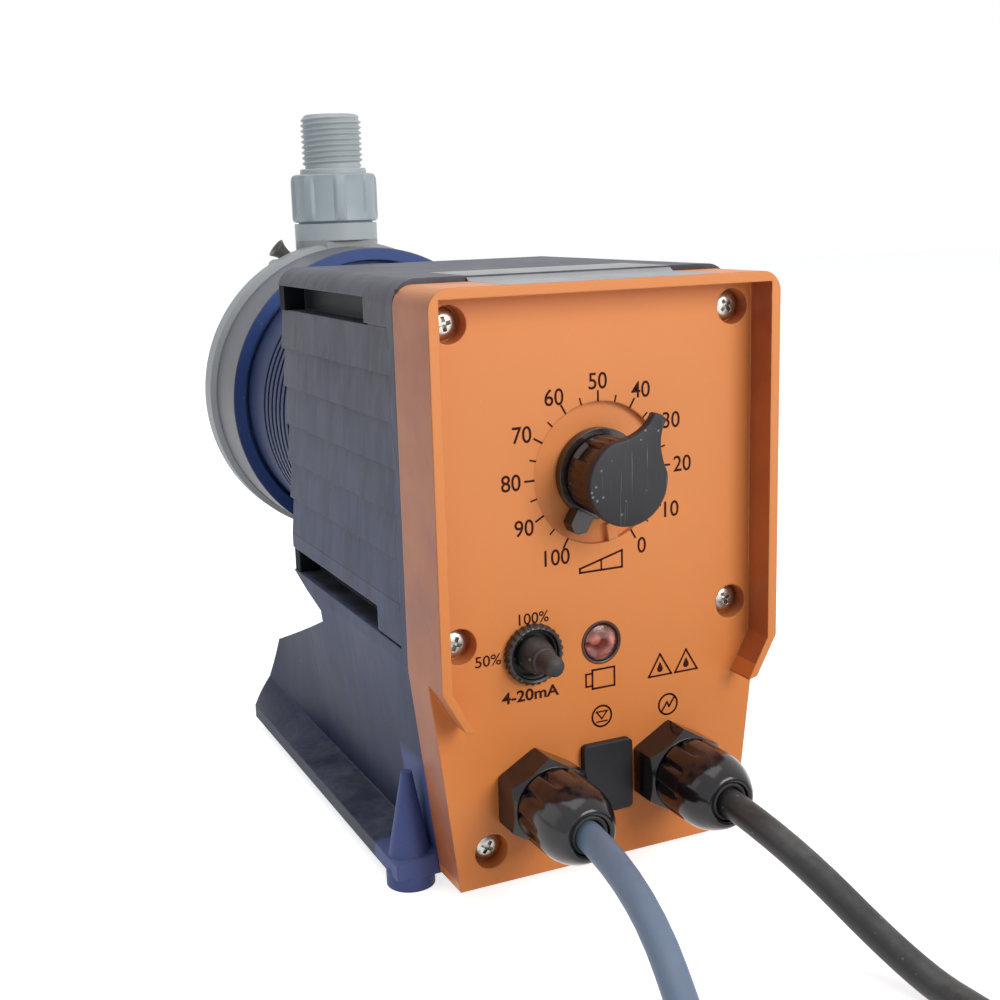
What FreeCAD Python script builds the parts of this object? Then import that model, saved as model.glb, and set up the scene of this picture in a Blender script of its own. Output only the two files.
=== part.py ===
import FreeCAD, Part
import math
import os
import re

import Sketcher
from FreeCAD import Placement, Rotation, Vector

# Diaphragm metering pump: a solenoid dosing pump with its stroke knob on the front cover,
# a louvred housing on a splayed foot, and a round dosing head with two valves at the back.
# X runs to the right of somebody who reads the dial, Y runs from the dial to the head,
# Z is up. The origin is on the floor, in the middle of the pump's length and width.

doc = FreeCAD.newDocument("diaphragm_metering_pump")

# Driving dimensions, in millimetres and degrees.
SIZES = {
    # housing and foot
    "body_width": 92.0,
    "body_top": 151.7,
    "body_rear_bottom": 62.3,
    "body_front_y": -75.3,
    "body_rear_y": 17.2,
    "body_corner": 6.0,
    "body_wall": 5.0,
    "cavity_width": 65.0,
    "cavity_floor": 20.0,
    "cavity_ceiling": 146.2,
    "taper_top": 58.9,
    "taper_run": 6.3,
    "foot_height": 3.8,
    "foot_radius": 6.2,
    "front_foot_span": 90.0,
    "rear_foot_span": 81.0,
    "front_foot_y": -69.0,
    "rear_foot_y": 40.0,
    "rear_foot_radius": 5.4,
    "boss_height": 26.0,
    "fixing_hole_radius": 2.4,
    "fixing_hole_depth": 14.0,
    "lip_thickness": 4.0,
    "lip_overhang": 4.8,
    "lip_rear_y": 56.0,
    "shoe_shoulder_y": 41.0,
    "shoe_shoulder_z": 34.0,
    "notch_y": -5.3,
    "notch_bottom_z": 52.0,
    "notch_top_z": 55.3,
    "flare_start_y": 10.0,
    # louvres in the housing's sides
    "slat_pitch": 11.06,
    "slat_first_z": 62.6,
    "slat_lean": 1.1,
    "slat_front_y": -71.5,
    "slot_height": 6.9,
    "slot_depth": 7.0,
    "slot_front_y": -55.3,
    # front cover
    "cover_bottom": 4.7,
    "cover_top": 150.4,
    "cover_depth": 22.2,
    "cover_corner": 5.0,
    "cover_wall": 2.5,
    "panel_recess": 8.5,
    "rim_wall": 2.5,
    "rim_end_drop": 10.2,
    "rim_end_inset": 5.6,
    "gasket_thickness": 0.8,
    "gasket_inset": 0.9,
    "gasket_width": 4.0,
    "screw_inset": 8.2,
    "screw_top_z": 141.8,
    "screw_middle_z": 66.7,
    "screw_bottom_inset": 14.8,
    "screw_bottom_z": 13.6,
    "screw_recess_radius": 4.4,
    "screw_recess_depth": 5.0,
    "screw_head_radius": 3.8,
    "screw_head_height": 2.6,
    "screw_shank_radius": 1.6,
    "screw_length": 24.0,
    "thread_clearance": 0.1,
    # stroke dial and knob
    "dial_z": 104.2,
    "dial_recess_radius": 17.3,
    "dial_recess_depth": 1.6,
    "stop_angle": 167.0,
    "stop_spread": 4.5,
    "knob_front": 14.6,
    "knob_radius": 9.6,
    "knob_cap_radius": 10.4,
    "knob_cap_thickness": 2.6,
    "knob_nose_reach": 17.4,
    "knob_nose_angle": 30.0,
    "knob_nose_half_width": 2.0,
    "ring_radius": 11.0,
    "ring_height": 2.4,
    "lug_reach": 15.6,
    "lug_half_width": 2.4,
    "lug_height": 4.0,
    "spindle_radius": 3.0,
    "spindle_clearance": 0.05,
    "spindle_collar_radius": 5.5,
    "bush_radius": 5.6,
    "dial_gap": 0.3,
    # mode switch, lamp and blanking cap
    "switch_x": -19.0,
    "switch_z": 62.2,
    "switch_thread_radius": 6.0,
    "switch_ring_radius": 7.6,
    "switch_ring_height": 2.6,
    "switch_boot_radius": 4.4,
    "switch_boot_length": 12.5,
    "switch_boot_tip_radius": 2.5,
    "switch_lever_radius": 1.7,
    "switch_body_width": 15.0,
    "switch_body_depth": 13.5,
    "switch_pivot_depth": 2.0,
    "lamp_z": 61.8,
    "lamp_radius": 4.4,
    "lamp_dome": 1.0,
    "lamp_recess": 0.8,
    "cap_x": 0.6,
    "cap_z": 27.0,
    "cap_width": 13.6,
    "cap_height": 18.4,
    "cap_proud": 2.0,
    "cap_flange": 1.6,
    "socket_wall": 1.5,
    "socket_depth": 11.0,
    # cable glands and cords
    "gland_x": 19.0,
    "gland_z": 26.7,
    "gland_hex": 20.0,
    "gland_base_length": 9.5,
    "gland_nut_length": 18.7,
    "gland_nut_radius": 9.8,
    "gland_mouth_radius": 4.9,
    "gland_thread_radius": 7.9,
    "gland_thread_length": 10.0,
    "gland_gap": 0.3,
    "gland_flutes": 10.0,
    "gland_flute_radius": 1.7,
    "gland_flute_length": 8.0,
    "locknut_hex": 22.0,
    "locknut_height": 4.0,
    "cord_radius": 3.5,
    "cord_clearance": 0.15,
    "coil_mean_radius": 35.0,
    "coil_half_width": 7.3,
    "coil_height": 22.6,
    "coil_tail": 31.0,
    "coil_far_tail": 45.0,
    "coil_tail_z": 3.6,
    "core_radius": 1.1,
    "core_length": 12.0,
    # electronics
    "board_width": 60.0,
    "board_bottom": 38.0,
    "board_top": 143.0,
    "board_thickness": 1.6,
    "board_y": -62.0,
    "pillar_radius": 3.0,
    # solenoid drive
    "axis_z": 106.1,
    "yoke_radius": 29.0,
    "yoke_wall": 4.0,
    "yoke_length": 50.0,
    "pole_radius": 13.5,
    "pole_length": 16.0,
    "coil_bore_radius": 14.6,
    "winding_radius": 24.6,
    "armature_radius": 14.0,
    "armature_length": 26.0,
    "rod_radius": 4.0,
    "rod_clearance": 0.05,
    "rod_bush_radius": 6.5,
    "stroke": 1.25,
    "spring_radius": 7.6,
    "spring_wire": 0.8,
    "spring_turns": 3.0,
    "fit": 0.3,
    # adapter drum and head plate
    "drum_radius": 44.0,
    "drum_rear_y": 64.1,
    "drum_wall": 4.0,
    "rib_count": 7.0,
    "rib_pitch": 4.2,
    "rib_groove": 1.9,
    "rib_depth": 2.4,
    "rib_start": 2.6,
    "plate_radius": 49.1,
    "plate_thickness": 22.2,
    "plate_rim": 4.0,
    "plate_groove_depth": 3.0,
    # diaphragm and dosing head
    "diaphragm_edge": 1.5,
    "diaphragm_thickness": 2.4,
    "core_disc_radius": 14.0,
    "core_disc_thickness": 4.0,
    "head_radius": 50.9,
    "head_disc_thickness": 10.2,
    "head_chamfer": 1.6,
    "head_block_width": 42.0,
    "head_block_depth": 17.0,
    "head_block_height": 90.0,
    "chamber_radius": 26.0,
    "chamber_depth": 4.0,
    "valve_y": 98.5,
    "head_screw_circle": 39.0,
    "head_screw_radius": 2.5,
    "head_screw_head": 5.0,
    "head_screw_length": 26.0,
    # valves
    "port_radius": 10.4,
    "port_depth": 14.0,
    "valve_base_z": 157.4,
    "valve_collar_radius": 14.3,
    "valve_collar_height": 5.8,
    "valve_thread_radius": 12.9,
    "valve_thread_height": 9.7,
    "valve_bore_radius": 7.6,
    "valve_channel_radius": 3.2,
    "seat_height": 4.0,
    "seat_bore_radius": 3.0,
    "ball_radius": 4.5,
    "ball_lift": 1.5,
    "nut_radius": 14.9,
    "nut_height": 16.3,
    "nut_lobes": 8.0,
    "nut_lobe_depth": 0.9,
    "nut_top_wall": 3.4,
    "nipple_flange_radius": 12.8,
    "nipple_flange_height": 2.95,
    "nipple_collar_radius": 11.4,
    "nipple_collar_height": 1.6,
    "nipple_thread_radius": 10.48,
    "nipple_thread_height": 18.3,
    "nipple_lead_in": 1.4,
    "nipple_bore_radius": 6.0,
    "oring_radius": 10.6,
    "oring_thickness": 0.9,
    # bleed valve
    "bleed_z": 136.0,
    "bleed_x": -11.5,
    "nozzle_y": 101.0,
    "nozzle_z": 147.1,
    "bleed_knob_radius": 6.2,
    "bleed_knob_height": 4.0,
    "bleed_stem_radius": 2.5,
    "nozzle_radius": 2.4,
    "nozzle_flare_radius": 3.5,
    "nozzle_bore_radius": 1.5,
    "nozzle_length": 13.0,
    "nozzle_tilt": 50.0,
}

sheet = doc.addObject("Spreadsheet::Sheet", "dims")
for row, (alias, size) in enumerate(SIZES.items(), start=1):
    sheet.set("A%d" % row, alias)
    sheet.set("B%d" % row, "%g" % size)
    sheet.setAlias("B%d" % row, alias)
doc.recompute()

WORD = re.compile(r"[a-z][a-z0-9_]*")


def formula(text):
    """A formula of named sizes, written the way the document reads it."""
    return WORD.sub(lambda hit: "dims." + hit.group(0) if hit.group(0) in SIZES else hit.group(0), str(text))


def size(alias):
    """A named size, read back from the sheet."""
    return float(sheet.get(alias))


def bind(thing, **formulas):
    """Tie properties of a document object to formulas of named sizes."""
    for name, text in formulas.items():
        thing.setExpression(name, formula(text))
    return thing


def place(thing, x="0", y="0", z="0", turn=None):
    """Put a sub-part at its seat, turned first when its own axis isn't the pump's."""
    if turn is not None:
        thing.Placement = Placement(Vector(0, 0, 0), turn)
    for axis, text in (("x", x), ("y", y), ("z", z)):
        thing.setExpression("Placement.Base." + axis, formula(text))
    return thing


# A piece drawn upright that faces the reader, the head's side, or hangs upside down.
TO_FRONT = Rotation(Vector(1, 0, 0), 90)
TO_REAR = Rotation(Vector(1, 0, 0), -90)
UPSIDE_DOWN = Rotation(Vector(1, 0, 0), 180)


def new_body(label):
    body = doc.addObject("PartDesign::Body", label)
    body.Label = label
    body.AllowCompound = True
    return body


def new_sketch(body, plane, name, offset="0"):
    """A sketch on one of the body's own planes, moved along that plane's normal."""
    sketch = body.newObject("Sketcher::SketchObject", name)
    support = next(f for f in body.Origin.OriginFeatures if f.Role == plane)
    sketch.AttachmentSupport = (support, "")
    sketch.MapMode = "FlatFace"
    sketch.setExpression("AttachmentOffset.Base.z", formula(offset))
    return sketch


def loop(sketch, points):
    """A closed outline of straight lines; every corner is tied to two formulas."""
    first = sketch.GeometryCount
    count = len(points)
    around = [2 * math.pi * k / count for k in range(count)]
    start = [Vector(10 * math.cos(a), 10 * math.sin(a), 0) for a in around]
    lines = [Part.LineSegment(start[k], start[(k + 1) % count]) for k in range(count)]
    sketch.addGeometry(lines, False)
    for k in range(count):
        sketch.addConstraint(Sketcher.Constraint("Coincident", first + k, 2, first + (k + 1) % count, 1))
    for k, (x, y) in enumerate(points):
        for kind, text in (("DistanceX", x), ("DistanceY", y)):
            number = sketch.addConstraint(Sketcher.Constraint(kind, -1, 1, first + k, 1, 1.0))
            sketch.setExpression("Constraints[%d]" % number, formula(text))
    return sketch


def ring(sketch, radius, x="0", y="0"):
    """A circle tied to formulas for its radius and its centre."""
    number = sketch.addGeometry(Part.Circle(Vector(1, 1, 0), Vector(0, 0, 1), 2.0), False)
    rows = (
        sketch.addConstraint(Sketcher.Constraint("Radius", number, 2.0)),
        sketch.addConstraint(Sketcher.Constraint("DistanceX", -1, 1, number, 3, 1.0)),
        sketch.addConstraint(Sketcher.Constraint("DistanceY", -1, 1, number, 3, 1.0)),
    )
    for row, text in zip(rows, (radius, x, y)):
        sketch.setExpression("Constraints[%d]" % row, formula(text))
    return sketch


def extrude(body, kind, sketch, name, length, reverse=False, taper=None):
    """A pad or pocket of one sketch; its length is a formula."""
    feature = body.newObject("PartDesign::" + kind, name)
    feature.Profile = sketch
    feature.Reversed = reverse
    bind(feature, Length=length)
    if taper is not None:
        bind(feature, TaperAngle=taper)
    sketch.Visibility = False
    return feature


def turned(label, outline, holes=()):
    """A lathe-turned body about its own Z: an outline of (radius, height), then grooves of the same."""
    body = new_body(label)
    sketch = loop(new_sketch(body, "XZ_Plane", label + "_profile"), outline)
    solid = body.newObject("PartDesign::Revolution", label + "_turned")
    solid.Profile = sketch
    solid.ReferenceAxis = (sketch, ["V_Axis"])
    solid.Angle = 360
    for k, hole in enumerate(holes):
        sketch = loop(new_sketch(body, "XZ_Plane", "%s_hole_profile_%d" % (label, k)), hole)
        cut = body.newObject("PartDesign::Groove", "%s_hole_%d" % (label, k))
        cut.Profile = sketch
        cut.ReferenceAxis = (sketch, ["V_Axis"])
        cut.Angle = 360
    return body


def bored(radius, bottom, top):
    """The outline of a plain round hole for turned()."""
    return [("0", bottom), (radius, bottom), (radius, top), ("0", top)]


def polygon_points(sides, reach, first_angle=0.0, x="0", y="0"):
    """Corners of a regular polygon as formulas; reach is the centre-to-corner formula."""
    angles = [first_angle + 360.0 * k / sides for k in range(sides)]
    return [("%s + (%s) * cos(%g)" % (x, reach, a), "%s + (%s) * sin(%g)" % (y, reach, a)) for a in angles]


def box(x0, x1, y0, y1):
    """Corners of a rectangle between two formulas each way."""
    return [(x0, y0), (x1, y0), (x1, y1), (x0, y1)]


def cylinder(name, radius, height, x="0", y="0", z="0", turn=None):
    solid = doc.addObject("Part::Cylinder", name)
    bind(solid, Radius=radius, Height=height)
    return place(solid, x, y, z, turn)


def joined(label, pieces):
    """Primitives fused into one solid."""
    fused = doc.addObject("Part::MultiFuse", label)
    fused.Shapes = pieces
    fused.Label = label
    return fused


def group(label, pieces):
    """Identical pieces, each a separate solid, kept under one name."""
    together = doc.addObject("Part::Compound", label)
    together.Links = pieces
    together.Label = label
    return together


def edges_where(feature, test):
    """Names of the edges of a feature's shape that pass a test on the edge."""
    return ["Edge%d" % (k + 1) for k, edge in enumerate(feature.Shape.Edges) if test(edge)]


def rounded(body, name, radius, test, kind="Fillet"):
    """A fillet or chamfer on the edges of the body's last feature that pass a test."""
    doc.recompute()
    last = body.Tip
    chosen = edges_where(last, test)
    if not chosen:
        raise RuntimeError("%s found no edge to round" % name)
    feature = body.newObject("PartDesign::" + kind, name)
    feature.Base = (last, chosen)
    if kind == "Fillet":
        bind(feature, Radius=radius)
    else:
        bind(feature, Size=radius)
    return feature


def runs_along(edge, axis):
    """Whether a straight edge lies along X, Y or Z (0, 1 or 2)."""
    if edge.Curve.TypeId != "Part::GeomLine":
        return False
    start, end = edge.Vertexes[0].Point, edge.Vertexes[-1].Point
    way = end - start
    return abs(abs(way[axis]) - way.Length) < 1e-6


# Places that several pieces share, as formulas.
HALF = "body_width / 2"
LOUVRE_HALF = "body_width / 2 - 0.3"
RIM_Y = "(body_front_y - cover_depth)"
PANEL_Y = "(body_front_y - cover_depth + panel_recess)"
PANEL_BACK_Y = "(body_front_y - cover_depth + panel_recess + cover_wall)"
LIP_HALF = "(body_width / 2 + lip_overhang)"
LIP_TOP = "(foot_height + lip_thickness)"
HEAD_Y = "(drum_rear_y + plate_thickness)"
DIAPHRAGM_RADIUS = "(head_screw_circle - head_screw_radius - diaphragm_edge)"


def tapered(half, height):
    """Half width at a height under the taper's start, where both sides lean inwards."""
    return "%s - taper_run * (taper_top - (%s)) / (taper_top - cover_bottom)" % (half, height)


# Housing: one moulding, with louvred sides, a splayed shoe with a flat lip, and four feet.
def make_housing():
    body = new_body("housing")
    low = tapered(LOUVRE_HALF, LIP_TOP)
    outline = [
        (LIP_HALF, "foot_height"),
        (LIP_HALF, LIP_TOP),
        (low, LIP_TOP + " + 1.5"),
        (LOUVRE_HALF, "taper_top"),
        (LOUVRE_HALF, "body_top"),
    ]
    mirror = [("-(%s)" % x, y) for x, y in reversed(outline)]
    front = loop(new_sketch(body, "XZ_Plane", "housing_outline", "-body_front_y"), outline + mirror)
    extrude(body, "Pad", front, "housing_block", "body_rear_y - body_front_y", reverse=True)

    # The shoe carries on under the head, and its side walls splay out towards their rear end.
    def shoe_section(name, y, waist, waist_z):
        side = [
            (LIP_HALF, "foot_height"),
            (LIP_HALF, LIP_TOP),
            (waist, waist_z),
            (tapered(LOUVRE_HALF, "notch_top_z"), "notch_top_z"),
        ]
        other = [("-(%s)" % x, z) for x, z in reversed(side)]
        return loop(new_sketch(body, "XZ_Plane", name, "-(%s)" % y), side + other)

    start = shoe_section("shoe_start", "flare_start_y", low, LIP_TOP + " + 1.5")
    end_waist = "(%s + %s) / 2" % (LIP_HALF, LOUVRE_HALF)
    end = shoe_section("shoe_end", "lip_rear_y", end_waist, "(shoe_shoulder_z + %s) / 2" % LIP_TOP)
    shoe = body.newObject("PartDesign::AdditiveLoft", "shoe")
    shoe.Profile = start
    shoe.Sections = [end]
    shoe.Ruled = True

    # Side view of the rear: the undercut below the drum and the sloping top of the shoe.
    side_view = [
        ("notch_y", "notch_bottom_z"),
        ("notch_y", "notch_top_z"),
        ("body_rear_y", "body_rear_bottom"),
        ("lip_rear_y + 20", "body_rear_bottom"),
        ("lip_rear_y + 20", "foot_height - 5"),
        ("lip_rear_y", "foot_height - 5"),
        ("lip_rear_y", LIP_TOP),
        ("shoe_shoulder_y", "shoe_shoulder_z"),
    ]
    notch = loop(new_sketch(body, "YZ_Plane", "rear_side_view", "-body_width"), side_view)
    extrude(body, "Pocket", notch, "rear_notch", "2 * body_width", reverse=True)
    rounded(body, "top_corners", "body_corner",
            lambda e: runs_along(e, 1) and e.Vertexes[0].Z > size("body_top") - 0.01)

    # The room for the drive and the board, open to the front.
    room_low = tapered("cavity_width / 2", "cavity_floor")
    room = [
        (room_low, "cavity_floor"),
        ("cavity_width / 2", "taper_top"),
        ("cavity_width / 2", "cavity_ceiling"),
    ]
    room += [("-(%s)" % x, z) for x, z in reversed(room)]
    opening = loop(new_sketch(body, "XZ_Plane", "room_outline", "-body_front_y"), room)
    extrude(body, "Pocket", opening, "room_front",
            "notch_y - body_wall - body_front_y")
    upper = box("-cavity_width / 2", "cavity_width / 2", "axis_z - yoke_radius - 2", "cavity_ceiling")
    deep = loop(new_sketch(body, "XZ_Plane", "room_rear_outline", "-notch_y + body_wall"), upper)
    extrude(body, "Pocket", deep, "room_rear", "body_rear_y - notch_y")

    # Louvres: seven leaning slats a side between an open slot above and one below.
    for side, sign in (("left", "-"), ("right", "")):
        face = "%s(%s" % (sign, LOUVRE_HALF)
        slat = [
            (face + " + 0.5)", "slat_first_z + slat_pitch"),
            (face + " + 0.5)", "slat_first_z + 2 * slat_pitch"),
            (face + " - slat_lean)", "slat_first_z + 2 * slat_pitch"),
            (face + ")", "slat_first_z + slat_pitch"),
        ]
        sketch = loop(new_sketch(body, "XZ_Plane", side + "_slat_outline", "-slat_front_y"), slat)
        cut = extrude(body, "Pocket", sketch, side + "_slat", "body_rear_y - slat_front_y + 5")
        doc.recompute()
        rows = body.newObject("PartDesign::LinearPattern", side + "_slats")
        rows.Originals = [cut]
        rows.Direction = (sketch, ["V_Axis"])
        bind(rows, Length="5 * slat_pitch")
        rows.Occurrences = 6
        body.Tip = rows
        ends = new_sketch(body, "YZ_Plane", side + "_slots_outline", face + " + 1)")
        for bottom in ("slat_first_z", "slat_first_z + 7 * slat_pitch"):
            loop(ends, box("slot_front_y", "body_rear_y + 5", bottom, bottom + " + slot_height"))
        extrude(body, "Pocket", ends, side + "_slots", "slot_depth + 1", reverse=(side == "left"))
        lines = new_sketch(body, "YZ_Plane", side + "_slot_lines", face + " + 1)")
        for bottom in ("slat_first_z", "slat_first_z + 7 * slat_pitch"):
            loop(lines, box("slat_front_y", "slot_front_y + 1", bottom, bottom + " + 0.7"))
        extrude(body, "Pocket", lines, side + "_slot_line_cuts", "2", reverse=(side == "left"))

    # Feet under the lip; the front pair ends in cones that run up the front corners.
    feet = new_sketch(body, "XY_Plane", "front_feet_outline")
    rear = new_sketch(body, "XY_Plane", "rear_feet_outline")
    cones = new_sketch(body, "XY_Plane", "boss_outline", "foot_height")
    holes = new_sketch(body, "XY_Plane", "fixing_hole_outline")
    for sign in ("-", ""):
        ring(feet, "foot_radius", sign + "front_foot_span / 2", "front_foot_y")
        ring(cones, "foot_radius", sign + "front_foot_span / 2", "front_foot_y")
        ring(rear, "rear_foot_radius", sign + "rear_foot_span / 2", "rear_foot_y")
        ring(holes, "fixing_hole_radius", sign + "front_foot_span / 2", "front_foot_y")
        ring(holes, "fixing_hole_radius", sign + "rear_foot_span / 2", "rear_foot_y")
    extrude(body, "Pad", feet, "front_feet", "foot_height + 0.5")
    extrude(body, "Pad", rear, "rear_feet", "foot_height + 0.5")
    extrude(body, "Pad", cones, "front_bosses", "boss_height", taper="-10.5")
    extrude(body, "Pocket", holes, "fixing_holes", "fixing_hole_depth", reverse=True)

    # Pilot holes for the cover screws, and the way through for the push rod.
    pilots = new_sketch(body, "XZ_Plane", "pilot_outline", "-body_front_y")
    for x, z in cover_screw_places():
        ring(pilots, "screw_shank_radius + thread_clearance", x, z)
    extrude(body, "Pocket", pilots, "pilot_holes",
            "screw_length - cover_depth + panel_recess + screw_recess_depth + 1.5")
    way = new_sketch(body, "XZ_Plane", "rod_way_outline", "-body_rear_y")
    ring(way, "rod_bush_radius + fit", "0", "axis_z")
    for x, z in adapter_screw_places():
        ring(way, "2.1 + thread_clearance", x, "axis_z + " + z)
    extrude(body, "Pocket", way, "rod_way", "body_wall + 1", reverse=True)
    return body


def cover_screw_places():
    """Centres of the six cover screws, seen from the front."""
    rows = (
        ("(body_width / 2 - screw_inset)", "screw_top_z"),
        ("(body_width / 2 - screw_inset)", "screw_middle_z"),
        ("(body_width / 2 - screw_bottom_inset)", "screw_bottom_z"),
    )
    return [(sign + x, z) for x, z in rows for sign in ("-", "")]


# Front cover: a moulded shell with a hood rim on three sides that runs out below the switch.
def cover_outline(inset="0", bottom="cover_bottom", top="cover_top"):
    side = [
        (tapered("(body_width / 2 - %s)" % inset, bottom), bottom),
        ("(body_width / 2 - %s)" % inset, "taper_top"),
        ("(body_width / 2 - %s)" % inset, top),
    ]
    return side + [("-(%s)" % x, z) for x, z in reversed(side)]


def make_front_cover():
    body = new_body("front_cover")
    shell = loop(new_sketch(body, "XZ_Plane", "cover_outline", "-body_front_y + gasket_thickness"), cover_outline())
    extrude(body, "Pad", shell, "cover_block", "cover_depth - panel_recess - gasket_thickness")

    # The hood: its lower ends lean inwards and stop short of the cover's bottom.
    hood = [
        (HALF + " - rim_end_inset - rim_wall", "taper_top - rim_end_drop - rim_wall / 4"),
        (HALF + " - rim_end_inset", "taper_top - rim_end_drop"),
        (HALF, "taper_top"),
        (HALF, "cover_top"),
    ]
    inner = [
        ("-(%s - rim_wall)" % HALF, "cover_top - rim_wall"),
        ("-(%s - rim_wall)" % HALF, "taper_top - 0.4"),
        ("-(%s - rim_end_inset - rim_wall)" % HALF, "taper_top - rim_end_drop - rim_wall / 4"),
    ]
    outer = hood[1:] + [("-(%s)" % x, z) for x, z in reversed(hood[1:])]
    back = inner[::-1] + [(x[1:], z) for x, z in inner]
    rim = loop(new_sketch(body, "XZ_Plane", "hood_outline", "-(%s) - 0.01" % PANEL_Y), outer + back)
    extrude(body, "Pad", rim, "hood", "panel_recess + 0.01")
    rounded(body, "cover_corners", "cover_corner",
            lambda e: runs_along(e, 1) and e.Vertexes[0].Z > size("cover_top") - 0.01)

    # Hollow behind the panel, with round posts for the six screws.
    hollow = new_sketch(body, "XZ_Plane", "cover_hollow_outline", "-body_front_y + gasket_thickness")
    loop(hollow, [
        (tapered("(body_width / 2 - cover_wall)", "cover_bottom + cover_wall"), "cover_bottom + cover_wall"),
        ("body_width / 2 - cover_wall", "taper_top"),
        ("body_width / 2 - cover_wall", "cover_top - cover_wall"),
        ("-(body_width / 2 - cover_wall)", "cover_top - cover_wall"),
        ("-(body_width / 2 - cover_wall)", "taper_top"),
        ("-(%s)" % tapered("(body_width / 2 - cover_wall)", "cover_bottom + cover_wall"),
         "cover_bottom + cover_wall"),
    ])
    extrude(body, "Pocket", hollow, "cover_hollow",
            "cover_depth - panel_recess - cover_wall - gasket_thickness", reverse=True)
    posts = new_sketch(body, "XZ_Plane", "screw_post_outline", "-body_front_y + gasket_thickness")
    for x, z in cover_screw_places():
        ring(posts, "screw_recess_radius + 1.6", x, z)
    extrude(body, "Pad", posts, "screw_posts", "cover_depth - panel_recess - gasket_thickness - 0.5")

    # Screw recesses with a through hole, the dial's dish, and the openings for what sits in the panel.
    recess = new_sketch(body, "XZ_Plane", "screw_recess_outline", "-(%s)" % PANEL_Y)
    through = new_sketch(body, "XZ_Plane", "panel_hole_outline", "-(%s)" % PANEL_Y)
    for x, z in cover_screw_places():
        ring(recess, "screw_recess_radius", x, z)
        ring(through, "screw_shank_radius + 0.3", x, z)
    ring(through, "spindle_radius + 1.2", "0", "dial_z")
    ring(through, "switch_thread_radius + 0.15", "switch_x", "switch_z")
    ring(through, "lamp_radius + 0.1", "0", "lamp_z")
    for sign in ("-", ""):
        ring(through, "gland_thread_radius + 0.2", sign + "gland_x", "gland_z")
    loop(through, box("cap_x - cap_width / 2 + cap_flange", "cap_x + cap_width / 2 - cap_flange",
                      "cap_z - cap_height / 2 + cap_flange", "cap_z + cap_height / 2 - cap_flange"))
    extrude(body, "Pocket", recess, "screw_recesses", "screw_recess_depth")
    extrude(body, "Pocket", through, "panel_holes", "cover_depth")
    dish = new_sketch(body, "XZ_Plane", "dial_dish_outline", "-(%s)" % PANEL_Y)
    ring(dish, "dial_recess_radius", "0", "dial_z")
    extrude(body, "Pocket", dish, "dial_dish", "dial_recess_depth")

    # A wedge left standing in the dish stops the pointer between its two end marks.
    stop = new_sketch(body, "XZ_Plane", "stop_outline", "-(%s) - dial_recess_depth - 0.01" % PANEL_Y)
    low, high = "(90 - stop_angle - stop_spread)", "(90 - stop_angle + stop_spread)"
    loop(stop, [
        ("13 * cos(%s)" % low, "dial_z + 13 * sin(%s)" % low),
        ("(dial_recess_radius - 0.1) * cos(%s)" % low, "dial_z + (dial_recess_radius - 0.1) * sin(%s)" % low),
        ("(dial_recess_radius - 0.1) * cos(%s)" % high, "dial_z + (dial_recess_radius - 0.1) * sin(%s)" % high),
        ("13 * cos(%s)" % high, "dial_z + 13 * sin(%s)" % high),
    ])
    extrude(body, "Pad", stop, "dial_stop", "dial_recess_depth + 0.01")

    # Pillars behind the panel that carry the circuit board.
    pillars = new_sketch(body, "XZ_Plane", "pillar_outline", "-(%s) + 0.01" % PANEL_BACK_Y)
    for x in ("-", ""):
        for z in ("board_bottom + 5", "board_top - 5"):
            ring(pillars, "pillar_radius", x + "(board_width / 2 - 5)", z)
    extrude(body, "Pad", pillars, "board_pillars", "board_y - %s + 0.01" % PANEL_BACK_Y, reverse=True)
    return body


def make_gasket():
    """The flat seal in the joint between housing and cover."""
    body = new_body("cover_gasket")
    frame = new_sketch(body, "XZ_Plane", "gasket_outline", "-body_front_y")
    loop(frame, cover_outline("gasket_inset", "cover_bottom + gasket_inset", "cover_top - gasket_inset"))
    loop(frame, cover_outline("gasket_width", "cover_bottom + gasket_width", "cover_top - gasket_width"))
    extrude(body, "Pad", frame, "gasket_pad", "gasket_thickness")
    return body


def on_panel(thing, x, z):
    """Seat a front piece: its own Z points out of the panel, its zero is the panel's face."""
    return place(thing, x, PANEL_Y, z, TO_FRONT)


def turned_by(along, across, angle):
    """A point given along and across a direction, as formulas in X and Y."""
    x = "(%s) * cos(%s) - (%s) * sin(%s)" % (along, angle, across, angle)
    y = "(%s) * sin(%s) + (%s) * cos(%s)" % (along, angle, across, angle)
    return x, y


# Stroke knob: a grip with a nosed cap, a pointer ring below it, and the spindle it turns.
KNOB_BASE = "(ring_height - dial_recess_depth + dial_gap)"


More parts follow.
